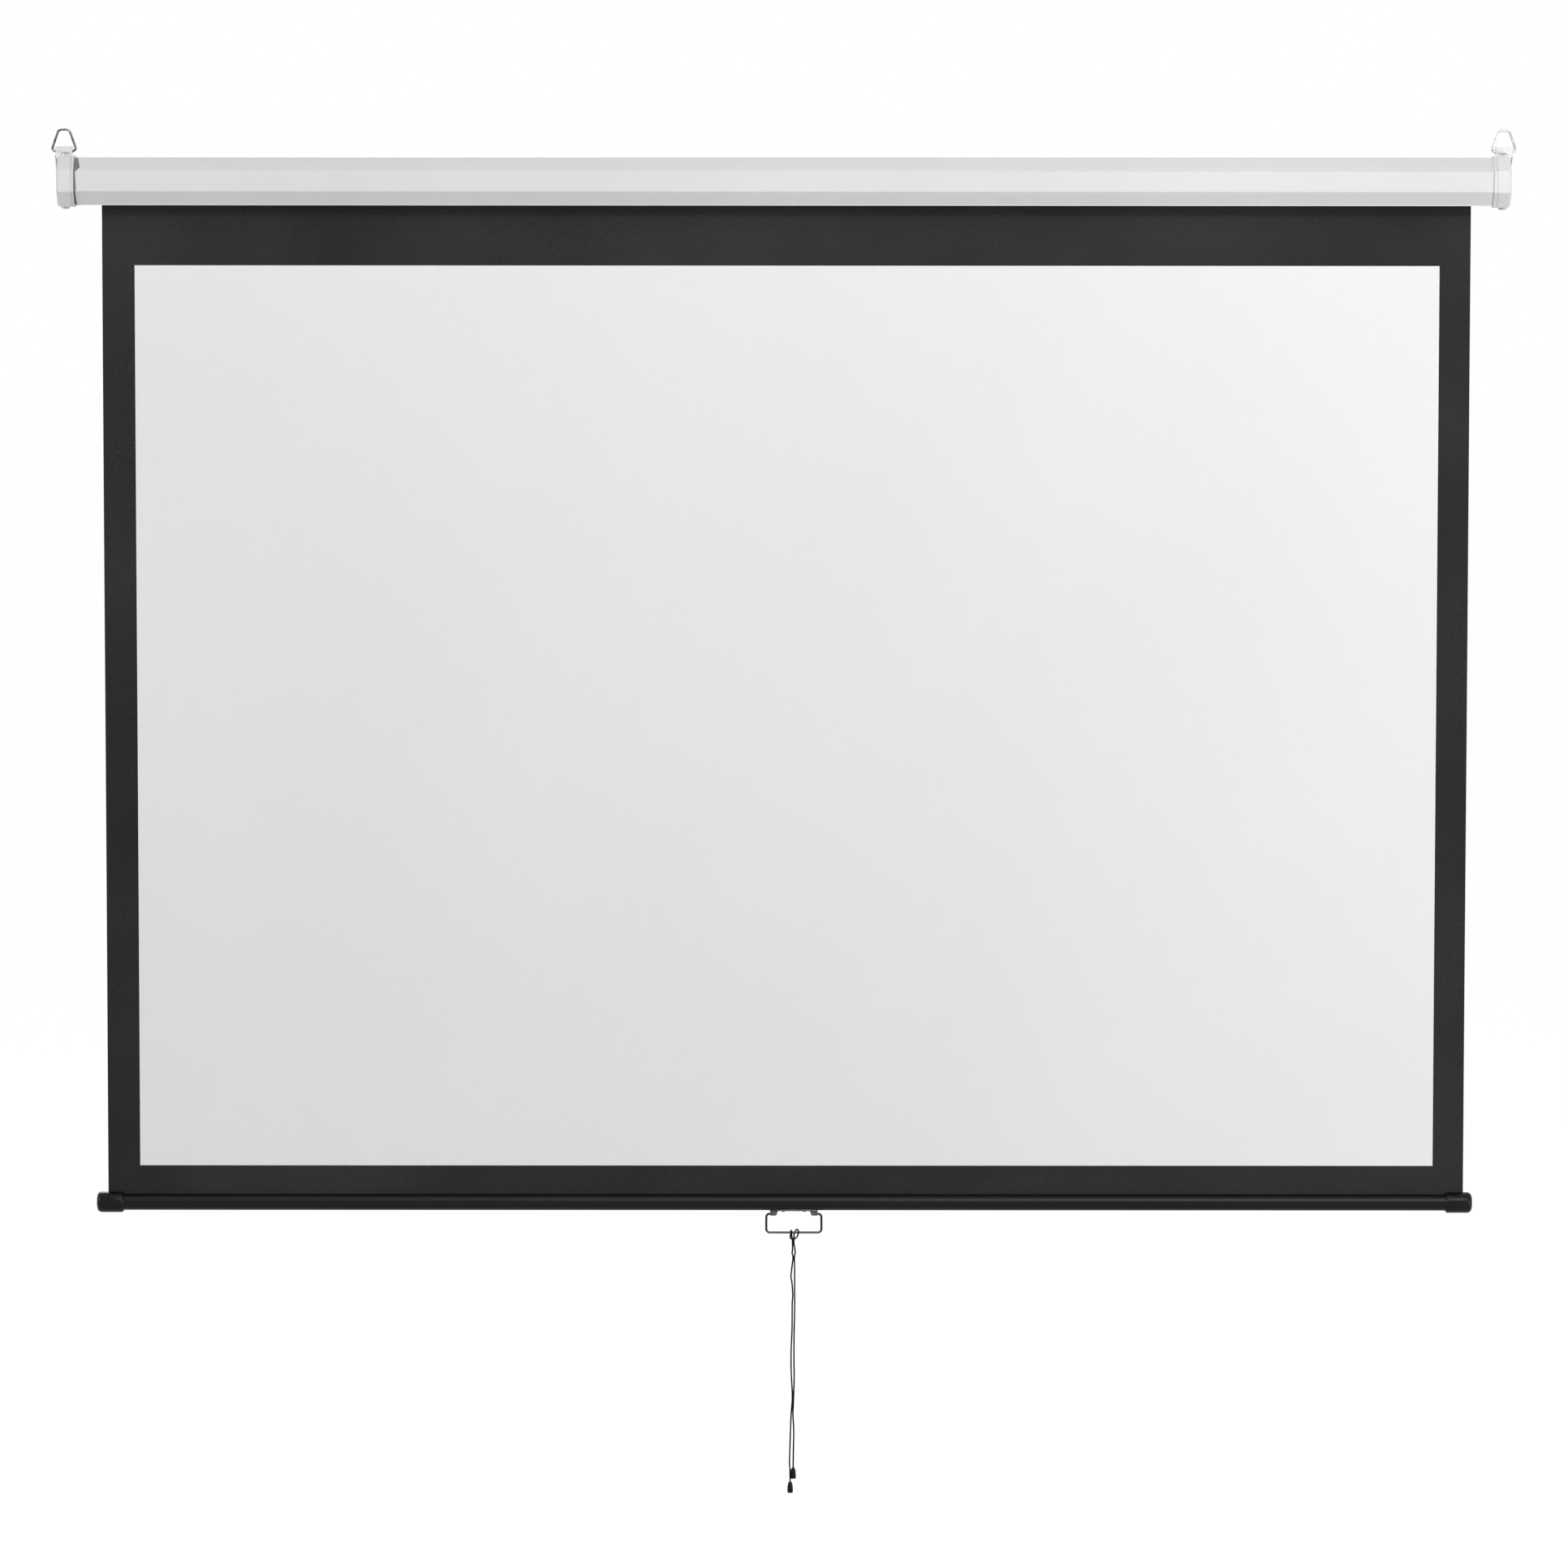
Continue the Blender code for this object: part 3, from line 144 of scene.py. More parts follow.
def stain(material, centre, size, tint):
    """Dulls a finish in a soft spot around a place on the object."""
    place = add(material, "ShaderNodeTexCoord").outputs["Object"]
    near = add(
        material,
        "ShaderNodeMapping",
        {"Vector": place, "Location": centre, "Scale": size},
        vector_type="TEXTURE",
    )
    spot = add(
        material,
        "ShaderNodeTexGradient",
        {"Vector": near.outputs["Vector"]},
        gradient_type="SPHERICAL",
    )
    tint_over(material, blend_tints(material, spot.outputs["Fac"], (1, 1, 1), tint, (0.0, 0.9)))


def verts_of(geometry):
    """The vertices among the parts that an operator made."""
    return [part for part in geometry if isinstance(part, bmesh.types.BMVert)]


def round_off(bm, parts, size, segments, affect="EDGES"):
    """Rounds edges, or the corners of a line or a flat, to a size."""
    bmesh.ops.bevel(
        bm,
        geom=parts,
        offset=size,
        offset_type="OFFSET",
        segments=segments,
        profile=0.5,
        affect=affect,
        material=-1,
    )


def bent_line(bm, corners, bends, steps=4):
    """An open line of edges, with each inner corner rounded to its own bend radius."""
    corners = [Vector(corner) for corner in corners]
    verts = [bm.verts.new(corner) for corner in corners]
    for pair in zip(verts, verts[1:]):
        bm.edges.new(pair)
    for i, bend in enumerate(bends[1:-1], 1):
        turn = (corners[i] - corners[i - 1]).angle(corners[i + 1] - corners[i])
        round_off(bm, [verts[i]], bend * math.tan(turn / 2), steps, "VERTICES")


def folded(corners, bends, along):
    """Sheet metal folded along a line and drawn out, still without its thickness."""
    bm = bmesh.new()
    bent_line(bm, corners, bends)
    grown = bmesh.ops.extrude_edge_only(bm, edges=bm.edges[:])["geom"]
    bmesh.ops.translate(bm, vec=along, verts=verts_of(grown))
    return bm


def thicken(bm, wall, inside):
    """Gives an open shell its wall, on the side of a point inside it."""
    bmesh.ops.recalc_face_normals(bm, faces=bm.faces)
    outward = sum(
        (face.calc_center_median() - inside).dot(face.normal) * face.calc_area() for face in bm.faces
    )
    if outward < 0:
        bmesh.ops.reverse_faces(bm, faces=bm.faces)
    bmesh.ops.solidify(bm, geom=bm.faces[:], thickness=wall)


def link_piece(name, bm, *materials):
    """Makes a mesh object, with its faces turned outwards."""
    bmesh.ops.recalc_face_normals(bm, faces=bm.faces)
    mesh = bpy.data.meshes.new(name)
    bm.to_mesh(mesh)
    bm.free()
    for material in materials:
        mesh.materials.append(material)
    piece = bpy.data.objects.new(name, mesh)
    bpy.context.scene.collection.objects.link(piece)
    return piece


def smooth(piece, angle):
    """Shades a piece smooth, but for the edges that turn more sharply than an angle."""
    piece.data.shade_smooth()
    piece.data.set_sharp_from_angle(angle=math.radians(angle))


def soften(piece, width):
    """Rounds the sharp edges that tooling leaves, and keeps the flats between them flat."""
    piece.data.shade_smooth()
    edge = piece.modifiers.new("edge", "BEVEL")
    edge.width = width
    edge.segments = 2
    edge.limit_method = "ANGLE"
    edge.angle_limit = math.radians(35)
    flats = piece.modifiers.new("flats", "WEIGHTED_NORMAL")
    flats.weight = 80


def fit(piece, body, slot, *nodes):
    """Fixes a piece to a body and hides the CAD nodes that it stands for; the slot is not used."""
    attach(piece, body)
    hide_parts(*nodes)


powder_coat = finish("powder_coat", ((0.74, 0.735, 0.725), (0.78, 0.777, 0.77)), 0.45, clouds=2.5)
stain(powder_coat, DULL_SPOT_PLACE, DULL_SPOT_SIZE, (0.90, 0.89, 0.88))

bm = folded(
    [(-CASING_HALF_LENGTH, y, z) for y, z, _ in CASING_FOLDS],
    [bend for _, _, bend in CASING_FOLDS],
    (2 * CASING_HALF_LENGTH, 0, 0),
)
for height, _ in CASING_CUT[1:-1]:
    everything = bm.verts[:] + bm.edges[:] + bm.faces[:]
    bmesh.ops.bisect_plane(bm, geom=everything, dist=1e-6, plane_co=(0, 0, height), plane_no=(0, 0, 1))
for vert in bm.verts:
    if vert.co.x < 0 and vert.co.y < CASING_CUT_BACK_Y:
        for (top, top_x), (low, low_x) in zip(CASING_CUT, CASING_CUT[1:]):
            if low <= vert.co.z <= top:
                vert.co.x = low_x + (top_x - low_x) * (vert.co.z - low) / (top - low)
                break
thicken(bm, CASING_WALL, Vector((0, CASING_AXIS_Y, 0)))
casing_shell = link_piece("casing_shell", bm, powder_coat)
smooth(casing_shell, 25)
fit(casing_shell, "casing", "powder_coat", "casing_profile")

# The end caps are moulded white plastic cups. The skirt goes over the casing's end and an inner
# sleeve goes into it; the sleeve is painted grey as shade. A shallow groove runs round the skirt
# beside its lip, its faces painted a darker grey as shade.
CAP_OUTER_X = 1.0585
CAP_PROFILE = [
    (0.0000, 0.0686),
    (0.0032, 0.0750),
    (0.0192, 0.0750),
    (0.0196, 0.0732),
    (0.0231, 0.0750),
    (0.0248, 0.0750),
    (0.0248, 0.0706),
    (0.0028, 0.0706),
    (0.0028, 0.0674),
    (0.0388, 0.0674),
    (0.0388, 0.0634),
    (0.0025, 0.0634),
]
CAP_SKIRT_DEPTH = 0.0250
CAP_END_WALL = 0.0030
CAP_GROOVE_DEPTHS = (0.0192, 0.0231)
CAP_GROOVE_REACH = 0.0240
CAP_SLEEVE_REACHES = (0.0310, 0.0340)
CAP_RIDGE_REACH = 0.0371
CAP_RIDGE_ROUND = 0.0011
SLOT_RELIEF_LENGTH = 0.040
SLOT_RELIEF = [
    (-0.0376, -0.0347),
    (-0.0206, -0.0347),
    (-0.0087, -0.0228),
    (-0.0167, -0.0148),
    (-0.0286, -0.0267),
    (-0.0376, -0.0267),
]


def spin_round(bm, parts, angle, steps, use_merge):
    """Spins a line about the X axis into a surface."""
    bmesh.ops.spin(
        bm,
        geom=parts,
        cent=(0, 0, 0),
        axis=(1, 0, 0),
        dvec=(0, 0, 0),
        angle=angle,
        steps=steps,
        use_merge=use_merge,
        use_normal_flip=False,
        use_duplicate=False,
    )


def turned(profile, steps):
    """A line of places along and out from the X axis, spun about it into a solid."""
    bm = bmesh.new()
    verts = [bm.verts.new((along, out, 0)) for along, out in profile]
    edges = [bm.edges.new(pair) for pair in zip(verts, verts[1:])]
    spin_round(bm, verts + edges, 2 * math.pi, steps, use_merge=True)
    bmesh.ops.remove_doubles(bm, verts=bm.verts, dist=1e-6)
    bmesh.ops.holes_fill(bm, edges=[edge for edge in bm.edges if edge.is_boundary], sides=0)
    return bm


def drawn(outline, along):
    """A flat outline filled and drawn out into a solid."""
    bm = bmesh.new()
    face = bm.faces.new([bm.verts.new(point) for point in outline])
    grown = bmesh.ops.extrude_face_region(bm, geom=[face], use_keep_orig=True)["geom"]
    bmesh.ops.translate(bm, vec=along, verts=verts_of(grown))
    return bm


def carve(piece, bm, operation="DIFFERENCE"):
    """Cuts a solid from a piece, or joins it on, and keeps the result as the piece's mesh."""
    tool = link_piece("tool", bm)
    change = piece.modifiers.new("change", "BOOLEAN")
    change.operation = operation
    change.object = tool
    graph = bpy.context.evaluated_depsgraph_get()
    changed = bpy.data.meshes.new_from_object(piece.evaluated_get(graph))
    piece.modifiers.clear()
    piece.data = changed
    bpy.data.objects.remove(tool)


white_plastic = finish(
    "white_plastic", ((0.76, 0.76, 0.755), (0.80, 0.80, 0.795)), 0.4, clouds=30, grain=700
)
# Painted shade: the groove's faces are a darker grey than the white skirt.
shaded_groove_plastic = finish(
    "shaded_groove_plastic", ((0.68, 0.68, 0.68), (0.73, 0.73, 0.73)), 0.5, clouds=40, grain=700
)
# Painted shade: the white cap's inner sleeve, seen in the casing's notch, is coloured grey.
shaded_sleeve_plastic = finish(
    "shaded_sleeve_plastic", ((0.25, 0.24, 0.235), (0.31, 0.30, 0.295)), 0.6, shine=0.2, clouds=60
)

for side, end in ((-1, "left"), (1, "right")):
    profile = [
        (side * (CAP_OUTER_X - depth), flats / 2 / math.cos(math.pi / 8)) for depth, flats in CAP_PROFILE
    ]
    bm = turned(profile, 8)
    bmesh.ops.rotate(bm, cent=(0, 0, 0), matrix=Matrix.Rotation(math.pi / 8, 3, "X"), verts=bm.verts)
    bmesh.ops.translate(bm, vec=(0, CASING_AXIS_Y, 0), verts=bm.verts)
    ridges = [
        edge
        for edge in bm.edges
        if abs(edge.verts[0].co.x - edge.verts[1].co.x) > 0.0001
        and min(Vector((v.co.y - CASING_AXIS_Y, v.co.z)).length for v in edge.verts) > CAP_RIDGE_REACH
    ]
    round_off(bm, ridges, CAP_RIDGE_ROUND, 4)
    skirt, groove, sleeve = 0, 1, 2
    moulding = link_piece(f"{end}_cap_moulding", bm, white_plastic, shaded_groove_plastic, shaded_sleeve_plastic)
    start = side * (CAP_OUTER_X - CAP_END_WALL)
    carve(moulding, drawn([(start, y, z) for y, z in SLOT_RELIEF], (-side * SLOT_RELIEF_LENGTH, 0, 0)))
    for face in moulding.data.polygons:
        depth = CAP_OUTER_X - abs(face.center.x)
        reach = (face.center.y - CASING_AXIS_Y) * face.normal.y + face.center.z * face.normal.z
        on_sleeve = CAP_SLEEVE_REACHES[0] < abs(reach) < CAP_SLEEVE_REACHES[1] and depth > CAP_END_WALL
        in_groove = CAP_GROOVE_DEPTHS[0] < depth < CAP_GROOVE_DEPTHS[1] and reach > CAP_GROOVE_REACH
        if depth > CAP_SKIRT_DEPTH or on_sleeve:
            face.material_index = sleeve
        else:
            face.material_index = groove if in_groove else skirt
    soften(moulding, 0.00025)
    fit(moulding, "casing", "white_plastic", f"{end}_end_cap")

# Behind each end wall a zinc plated steel plate carries the roller. The left one is slotted for
# the spring's shaft, and the right one holds a nylon bush for the plain pin.
zinc = finish("zinc", ((0.42, 0.42, 0.43), (0.52, 0.52, 0.53)), 0.34, metallic=1.0, clouds=50, grain=900)
nylon = finish("nylon", ((0.66, 0.65, 0.60), (0.74, 0.73, 0.69)), 0.48, clouds=40, grain=600)


def dress(material, slot, *nodes):
    """Gives CAD nodes a finish."""
    for name in nodes:
        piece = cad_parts[name]
        for place in piece.material_slots:
            place.link = "OBJECT"
            place.material = material


dress(zinc, "zinc", "left_bearing_plate", "right_bearing_plate")
dress(nylon, "nylon", "idle_pin_bush")

# A hanger bracket sits on each cap: a strap folded down the cap's end, and a tab with two ears
# that hold the ring. Both are one piece of white painted steel.
BRACKET_X = 1.0502
BRACKET_HALF = 0.01225
BRACKET_WALL = 0.0012
BRACKET_BEND = 0.0018
STRAP_FRONT = -0.0500
STRAP_WIDTH = 0.0149
STRAP_FOOT = (1.0600, 0.0160)
STRAP_CORNER_ROUND = 0.0025
FOOT_TOP = 0.0390
TAB_FRONT = -0.0357
TAB_BACK = -0.0255
TAB_TOP = 0.0507
TAB_CORNER_ROUND = 0.0035
RING_PIVOT = (-0.030, 0.0435)
WIRE_HOLE_RADIUS = 0.0020


def hole_along_x(place, length):
    """A round tool that drills a wire's hole, left to right."""
    bm = bmesh.new()
    bmesh.ops.create_cone(
        bm,
        cap_ends=True,
        segments=24,
        radius1=WIRE_HOLE_RADIUS,
        radius2=WIRE_HOLE_RADIUS,
        depth=length,
        matrix=Matrix.Translation(place) @ Matrix.Rotation(math.pi / 2, 4, "Y"),
    )
    return bm


bracket_white = finish(
    "bracket_white", ((0.80, 0.80, 0.80), (0.84, 0.84, 0.84)), 0.4, clouds=40, grain=1200
)

for side, end in ((-1, "left"), (1, "right")):
    outer = side * (BRACKET_X + BRACKET_HALF)
    inner = side * (BRACKET_X - BRACKET_HALF)
    strap = [
        (side * STRAP_FOOT[0], STRAP_FRONT, STRAP_FOOT[1]),
        (outer, STRAP_FRONT, FOOT_TOP),
        (inner + side * BRACKET_BEND, STRAP_FRONT, FOOT_TOP),
    ]
    bm = folded(strap, [0, BRACKET_BEND, 0], (0, STRAP_WIDTH, 0))
    corners = [v for v in bm.verts if len(v.link_edges) == 2 and v.co.y < STRAP_FRONT + 0.001]
    round_off(bm, corners, STRAP_CORNER_ROUND, 4, "VERTICES")
    thicken(bm, BRACKET_WALL, Vector((inner, STRAP_FRONT + STRAP_WIDTH / 2, STRAP_FOOT[1])))
    bracket = link_piece(f"{end}_bracket_folded", bm, bracket_white)

    low = FOOT_TOP - BRACKET_WALL / 2
    tab = [(inner, TAB_BACK), (inner, TAB_FRONT), (outer, TAB_FRONT), (outer, TAB_BACK)]
    bm = folded([(x, y, low) for x, y in tab], [0, BRACKET_BEND, BRACKET_BEND, 0], (0, 0, TAB_TOP - low))
    corners = [v for v in bm.verts if len(v.link_edges) == 2 and v.co.z > TAB_TOP - 0.0001]
    round_off(bm, corners, TAB_CORNER_ROUND, 5, "VERTICES")
    thicken(bm, BRACKET_WALL, Vector((side * BRACKET_X, TAB_BACK, (low + TAB_TOP) / 2)))
    carve(bracket, bm, "UNION")
    carve(bracket, hole_along_x((side * BRACKET_X, *RING_PIVOT), 0.04))
    soften(bracket, 0.0002)
    fit(bracket, "casing", "bracket_white", f"{end}_hanger_bracket")

# Four zinc plated screws with low domed heads and cross recesses: one down through each bracket
# and cap, and one up through each cap.
SCREW_X = 1.0473
SCREW_Y = -0.043
TOP_SEAT = 0.0393
BOTTOM_SEAT = 0.0378
RECESS_ARM = (0.0013, 0.0056, 0.0034)
RECESS_CENTRE_HEIGHT = 0.0031
RECESS_LOWEST = 0.0012
RECESS_REACH = 0.0029
SCREW_PROFILE = [
    (-0.0090, 0.0000),
    (-0.0090, 0.0012),
    (-0.0070, 0.0020),
    (0.0000, 0.0020),
    (0.0000, 0.0060),
    (0.0003, 0.0063),
    (0.0009, 0.0063),
    (0.0018, 0.0056),
    (0.0025, 0.0044),
    (0.0029, 0.0028),
    (0.0030, 0.0010),
    (0.0030, 0.0000),
]


def turned_upright(profile, steps):
    """A line of places along and out from the Z axis, spun about it into a solid."""
    bm = turned(profile, steps)
    bmesh.ops.rotate(bm, cent=(0, 0, 0), matrix=Matrix.Rotation(-math.pi / 2, 3, "Y"), verts=bm.verts)
    return bm


def block(size, centre):
    """A box of a size, round a centre."""
    bm = bmesh.new()
    bmesh.ops.create_cube(bm, size=1)
    bmesh.ops.scale(bm, vec=size, verts=bm.verts)
    bmesh.ops.translate(bm, vec=centre, verts=bm.verts)
    return bm


screw_zinc = finish(
    "screw_zinc", ((0.28, 0.28, 0.28), (0.56, 0.56, 0.56)), 0.24, metallic=1.0, clouds=220, grain=1500
)
# Painted shade: the cross recesses of the zinc screws are coloured near black.
recess_painted_shade = finish(
    "recess_painted_shade", ((0.02, 0.02, 0.02), (0.05, 0.05, 0.05)), 0.6, shine=0.1, clouds=300
)

for side, end, twist in ((-1, "left", 0.4), (1, "right", 0.9)):
    for level, height, seat in ((1, "top", TOP_SEAT), (-1, "bottom", BOTTOM_SEAT)):
        bm = turned_upright(SCREW_PROFILE, 32)
        screw = link_piece(f"{end}_{height}_screw", bm, screw_zinc, recess_painted_shade)
        thin, long, deep = RECESS_ARM
        for arm in ((thin, long, deep), (long, thin, deep)):
            carve(screw, block(arm, (0, 0, RECESS_CENTRE_HEIGHT)))
        for face in screw.data.polygons:
            in_recess = face.center.z > RECESS_LOWEST and face.center.xy.length < RECESS_REACH
            face.material_index = int(in_recess and face.normal.z < 0.2)
        turn = Matrix.Rotation(twist, 4, "Z")
        if level < 0:
            turn = Matrix.Rotation(math.pi, 4, "X") @ turn
        screw.data.transform(Matrix.Translation((side * SCREW_X, SCREW_Y, level * seat)) @ turn)
        smooth(screw, 35)
        fit(screw, "casing", "zinc", f"{end}_{height}_cap_screw")

# The hanging rings are 3.4 mm wire, nickel plated and bent to a tapered loop. Their two ends
# turn in through the bracket's ears. The left ring's plating is painted darker than the right
# one's, as painted shade.
RING_WIRE = 0.0034
RING_HALF = [(0.00955, 0.0), (0.01395, 0.0), (0.0174, 0.0035), (0.0076, 0.0313)]
RING_BENDS = [0, 0.0022, 0.0022, 0.006]


def bent_route(corners, bends, steps):
    """The points along the middle of a bent wire, from its first end to its last."""
    line = bmesh.new()
    bent_line(line, corners, bends, steps)
    here = next(vert for vert in line.verts if len(vert.link_edges) == 1)
    edge, route = None, []
    while here:
        route.append(here.co.copy())
        onward = [e for e in here.link_edges if e != edge]
        edge = onward[0] if onward else None
        here = edge.other_vert(here) if edge else None
    line.free()
    return route


def tube(route, radius, around):
    """A round bar along a route, from a ring of edges drawn on from point to point.

    Every vertex keeps its place on the straightened bar, for patterns that follow it.
    """
    bm = bmesh.new()
    wrap = bm.verts.layers.float_vector.new("wrap")
    last = len(route) - 1
    ways = [(route[min(i + 1, last)] - route[max(i - 1, 0)]).normalized() for i in range(last + 1)]
    facing = Vector((0, 0, 1)).rotation_difference(ways[0]).to_matrix().to_4x4()
    ring = bmesh.ops.create_circle(bm, cap_ends=False, radius=radius, segments=around)["verts"]
    for vert in ring:
        vert[wrap] = vert.co
    bmesh.ops.transform(bm, matrix=Matrix.Translation(route[0]) @ facing, verts=ring)
    edges = bm.edges[:]
    bmesh.ops.edgeloop_fill(bm, edges=edges)
    run = 0
    for i in range(last):
        grown = bmesh.ops.extrude_edge_only(bm, edges=edges)["geom"]
        ring = set(verts_of(grown))
        edges = [e for e in grown if isinstance(e, bmesh.types.BMEdge) and set(e.verts) <= ring]
        turn = ways[i].rotation_difference(ways[i + 1]).to_matrix()
        bmesh.ops.rotate(bm, cent=route[i], matrix=turn, verts=list(ring))
        bmesh.ops.translate(bm, vec=route[i + 1] - route[i], verts=list(ring))
        run += (route[i + 1] - route[i]).length
        for vert in ring:
            vert[wrap].z = run
    bmesh.ops.edgeloop_fill(bm, edges=edges)
    return bm


def paint_edge_shade(material, tint):
    """Paints shade into a plating towards the edges that turn away from the view, where a round wire looks
    darkest.
    """
    turned_away = add(material, "ShaderNodeLayerWeight", {"Blend": 0.35}).outputs["Facing"]
    tint_over(material, blend_tints(material, turned_away, (1, 1, 1), tint, (0.15, 0.6)))


# Painted shade: the left ring's nickel is a darker copy of the right ring's.
shaded_nickel = finish(
    "shaded_nickel",
    ((0.06, 0.057, 0.054), (0.30, 0.29, 0.27)),
    0.22,
    metallic=1.0,
    clouds=150,
    grain=4000,
    bump=0.05,
)
paint_edge_shade(shaded_nickel, (0.14, 0.13, 0.12))
nickel = finish(
    "nickel",
    ((0.48, 0.47, 0.46), (0.78, 0.77, 0.75)),
    0.2,
    metallic=1.0,
    clouds=150,
    grain=4000,
    bump=0.05,
)
paint_edge_shade(nickel, (0.36, 0.35, 0.34))

for side, end, plating in ((-1, "left", shaded_nickel), (1, "right", nickel)):
    half = [Vector((x, 0, z)) for x, z in RING_HALF]
    loop = half + [Vector((-p.x, 0, p.z)) for p in reversed(half)]
    route = bent_route(loop, RING_BENDS + RING_BENDS[::-1], 6)
    middle = Vector((side * BRACKET_X, *RING_PIVOT))
    bm = tube([middle + point for point in route], RING_WIRE / 2, 16)
    ring = link_piece(f"{end}_ring_wire", bm, plating)
    smooth(ring, 40)
    fit(ring, f"{end}_ring", "nickel", f"{end}_hang_ring")

# Inside the casing a thin steel tube carries the fabric, whose last turns stay on it. Nylon plugs
# close its ends: the right one ends in a plain pin, and the left one turns round the shaft.
black_fabric = finish(
    "black_fabric", ((0.012, 0.013, 0.013), (0.018, 0.019, 0.019)), 0.6, shine=0.2, clouds=3
)
dress(zinc, "zinc", "roller_tube", "pawl_pin_1", "pawl_pin_2")
dress(nylon, "nylon", "spring_end_plug", "spring_anchor_plug", "idle_end_plug")
dress(black_fabric, "black_fabric", "wound_fabric")

# The spring motor is oiled steel: a still shaft, the coil spring round it, the notched ratchet
# disc and two pawls that drop into its notches as the roller slows.
oiled_steel = finish(
    "oiled_steel", ((0.30, 0.30, 0.31), (0.42, 0.41, 0.40)), 0.38, metallic=1.0, clouds=80, grain=1200
)
dress(oiled_steel, "steel", "spring_shaft", "torsion_spring", "ratchet_disc", "pawl_1", "pawl_2")

# The screen is one piece of black backed cloth that hangs from the roller, with a matte white
# coating on its front inside a black border. It hangs nearly flat, with slight waves.
SCREEN_Y = -0.02315
CLOTH_LEFT = -0.9963
CLOTH_RIGHT = 1.0037
CLOTH_BOTTOM = -1.4920
CLOTH_THICKNESS = 0.0005
IMAGE_LEFT = -0.9490
IMAGE_RIGHT = 0.9584
IMAGE_TOP = -0.1228
IMAGE_BOTTOM = -1.4484
SCREEN_TRAVEL = 1.459
BELOW_ROLL_Z = -0.0195
COATING_THICKNESS = 0.0003
COATING_FRONT_Y = SCREEN_Y - 0.0007
COATING_SHARE_LEFT = 0.008
GRID_PITCH = 0.02
# Each slow wave has a height, its radians per metre across and down, and a start.
SLACK_WAVES = [(0.0009, 3.1, 1.3, 0.4), (0.0006, 7.3, -2.2, 0.0)]
EDGE_CURL = 0.0016
EDGE_CURL_REACH = 0.05


def reckon(material, operation, *values):
    """The result of one operation on numbers and on other nodes' outputs."""
    return add(material, "ShaderNodeMath", dict(enumerate(values)), operation=operation).outputs[0]


def raise_relief(material, height, strength):
    """Adds a fine pattern of heights to a finish's bump."""
    normal = material.node_tree.nodes["Principled BSDF"].inputs["Normal"]
    below = normal.links[0].from_socket
    relief = add(
        material,
        "ShaderNodeBump",
        {"Height": height, "Strength": strength, "Distance": 0.0002, "Normal": below},
    )
    material.node_tree.links.new(relief.outputs["Normal"], normal)


def weave(material, pitch, strength):
    """Gives a cloth the raised crossings of its two sets of threads."""
    place = add(material, "ShaderNodeTexCoord").outputs["Object"]
    threads = [
        add(
            material,
            "ShaderNodeTexWave",
            {"Vector": place, "Scale": math.pi / 10 / pitch, "Distortion": 0.4, "Detail Scale": 0.5},
            bands_direction=way,
        ).outputs["Fac"]
        for way in ("X", "Z")
    ]
    raise_relief(material, reckon(material, "MULTIPLY", *threads), strength)


def wave_of_cloth(x, z):
    """How far the hanging cloth stands off its flat line, front to back."""
    slack = math.sin(math.pi * min(1, max(0, z / CLOTH_BOTTOM)))
    slow = sum(rise * math.sin(across * x + down * z + start) for rise, across, down, start in SLACK_WAVES)
    edge = min(x - CLOTH_LEFT, CLOTH_RIGHT - x)
    curl = EDGE_CURL * math.exp(-edge / EDGE_CURL_REACH) * math.sin(5.2 * z + (0.6 if x < 0 else 2.1))
    return slack * (slow + curl)


def hanging_cloth(left, right, bottom, top, front):
    """A fine grid that hangs in the screen's plane and follows its waves."""
    bm = bmesh.new()
    across, down = round((right - left) / GRID_PITCH), round((top - bottom) / GRID_PITCH)
    bmesh.ops.create_grid(bm, x_segments=across, y_segments=down, size=0.5)
    bmesh.ops.scale(bm, vec=(right - left, top - bottom, 1), verts=bm.verts)
    bmesh.ops.rotate(bm, cent=(0, 0, 0), matrix=Matrix.Rotation(math.pi / 2, 3, "X"), verts=bm.verts)
    bmesh.ops.translate(bm, vec=((left + right) / 2, front, (top + bottom) / 2), verts=bm.verts)
    for vert in bm.verts:
        vert.co.y += wave_of_cloth(vert.co.x, vert.co.z)
    return bm


black_cloth = finish(
    "black_cloth", ((0.006, 0.007, 0.007), (0.021, 0.022, 0.022)), 0.5, shine=0.19, clouds=2.5, grain=520
)
weave(black_cloth, 0.0008, 0.35)
white_screen = finish(
    "white_screen", ((0.85, 0.85, 0.845), (0.87, 0.87, 0.868)), 0.6, shine=0.3, clouds=2
)
weave(white_screen, 0.0006, 0.15)

bm = hanging_cloth(CLOTH_LEFT, CLOTH_RIGHT, CLOTH_BOTTOM, 0, SCREEN_Y)
bmesh.ops.solidify(bm, geom=bm.faces[:], thickness=CLOTH_THICKNESS)
bmesh.ops.translate(bm, vec=(0, -CLOTH_THICKNESS / 2, 0), verts=bm.verts)
screen_cloth = link_piece("screen_cloth", bm, black_cloth)
smooth(screen_cloth, 60)
bm = hanging_cloth(IMAGE_LEFT, IMAGE_RIGHT, IMAGE_BOTTOM, IMAGE_TOP, COATING_FRONT_Y)
bmesh.ops.solidify(bm, geom=bm.faces[:], thickness=COATING_THICKNESS)
image_coating = link_piece("image_coating", bm, white_screen)
smooth(image_coating, 60)
for piece, slot, node, gather_z, share_left in (
    (screen_cloth, "black_fabric", "screen_fabric", 0, 1 + SCREEN_TRAVEL / CLOTH_BOTTOM),
    (image_coating, "white_fabric", "image_surface", BELOW_ROLL_Z, COATING_SHARE_LEFT),
):
    fit(piece, "casing", slot, node)
    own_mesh(piece)

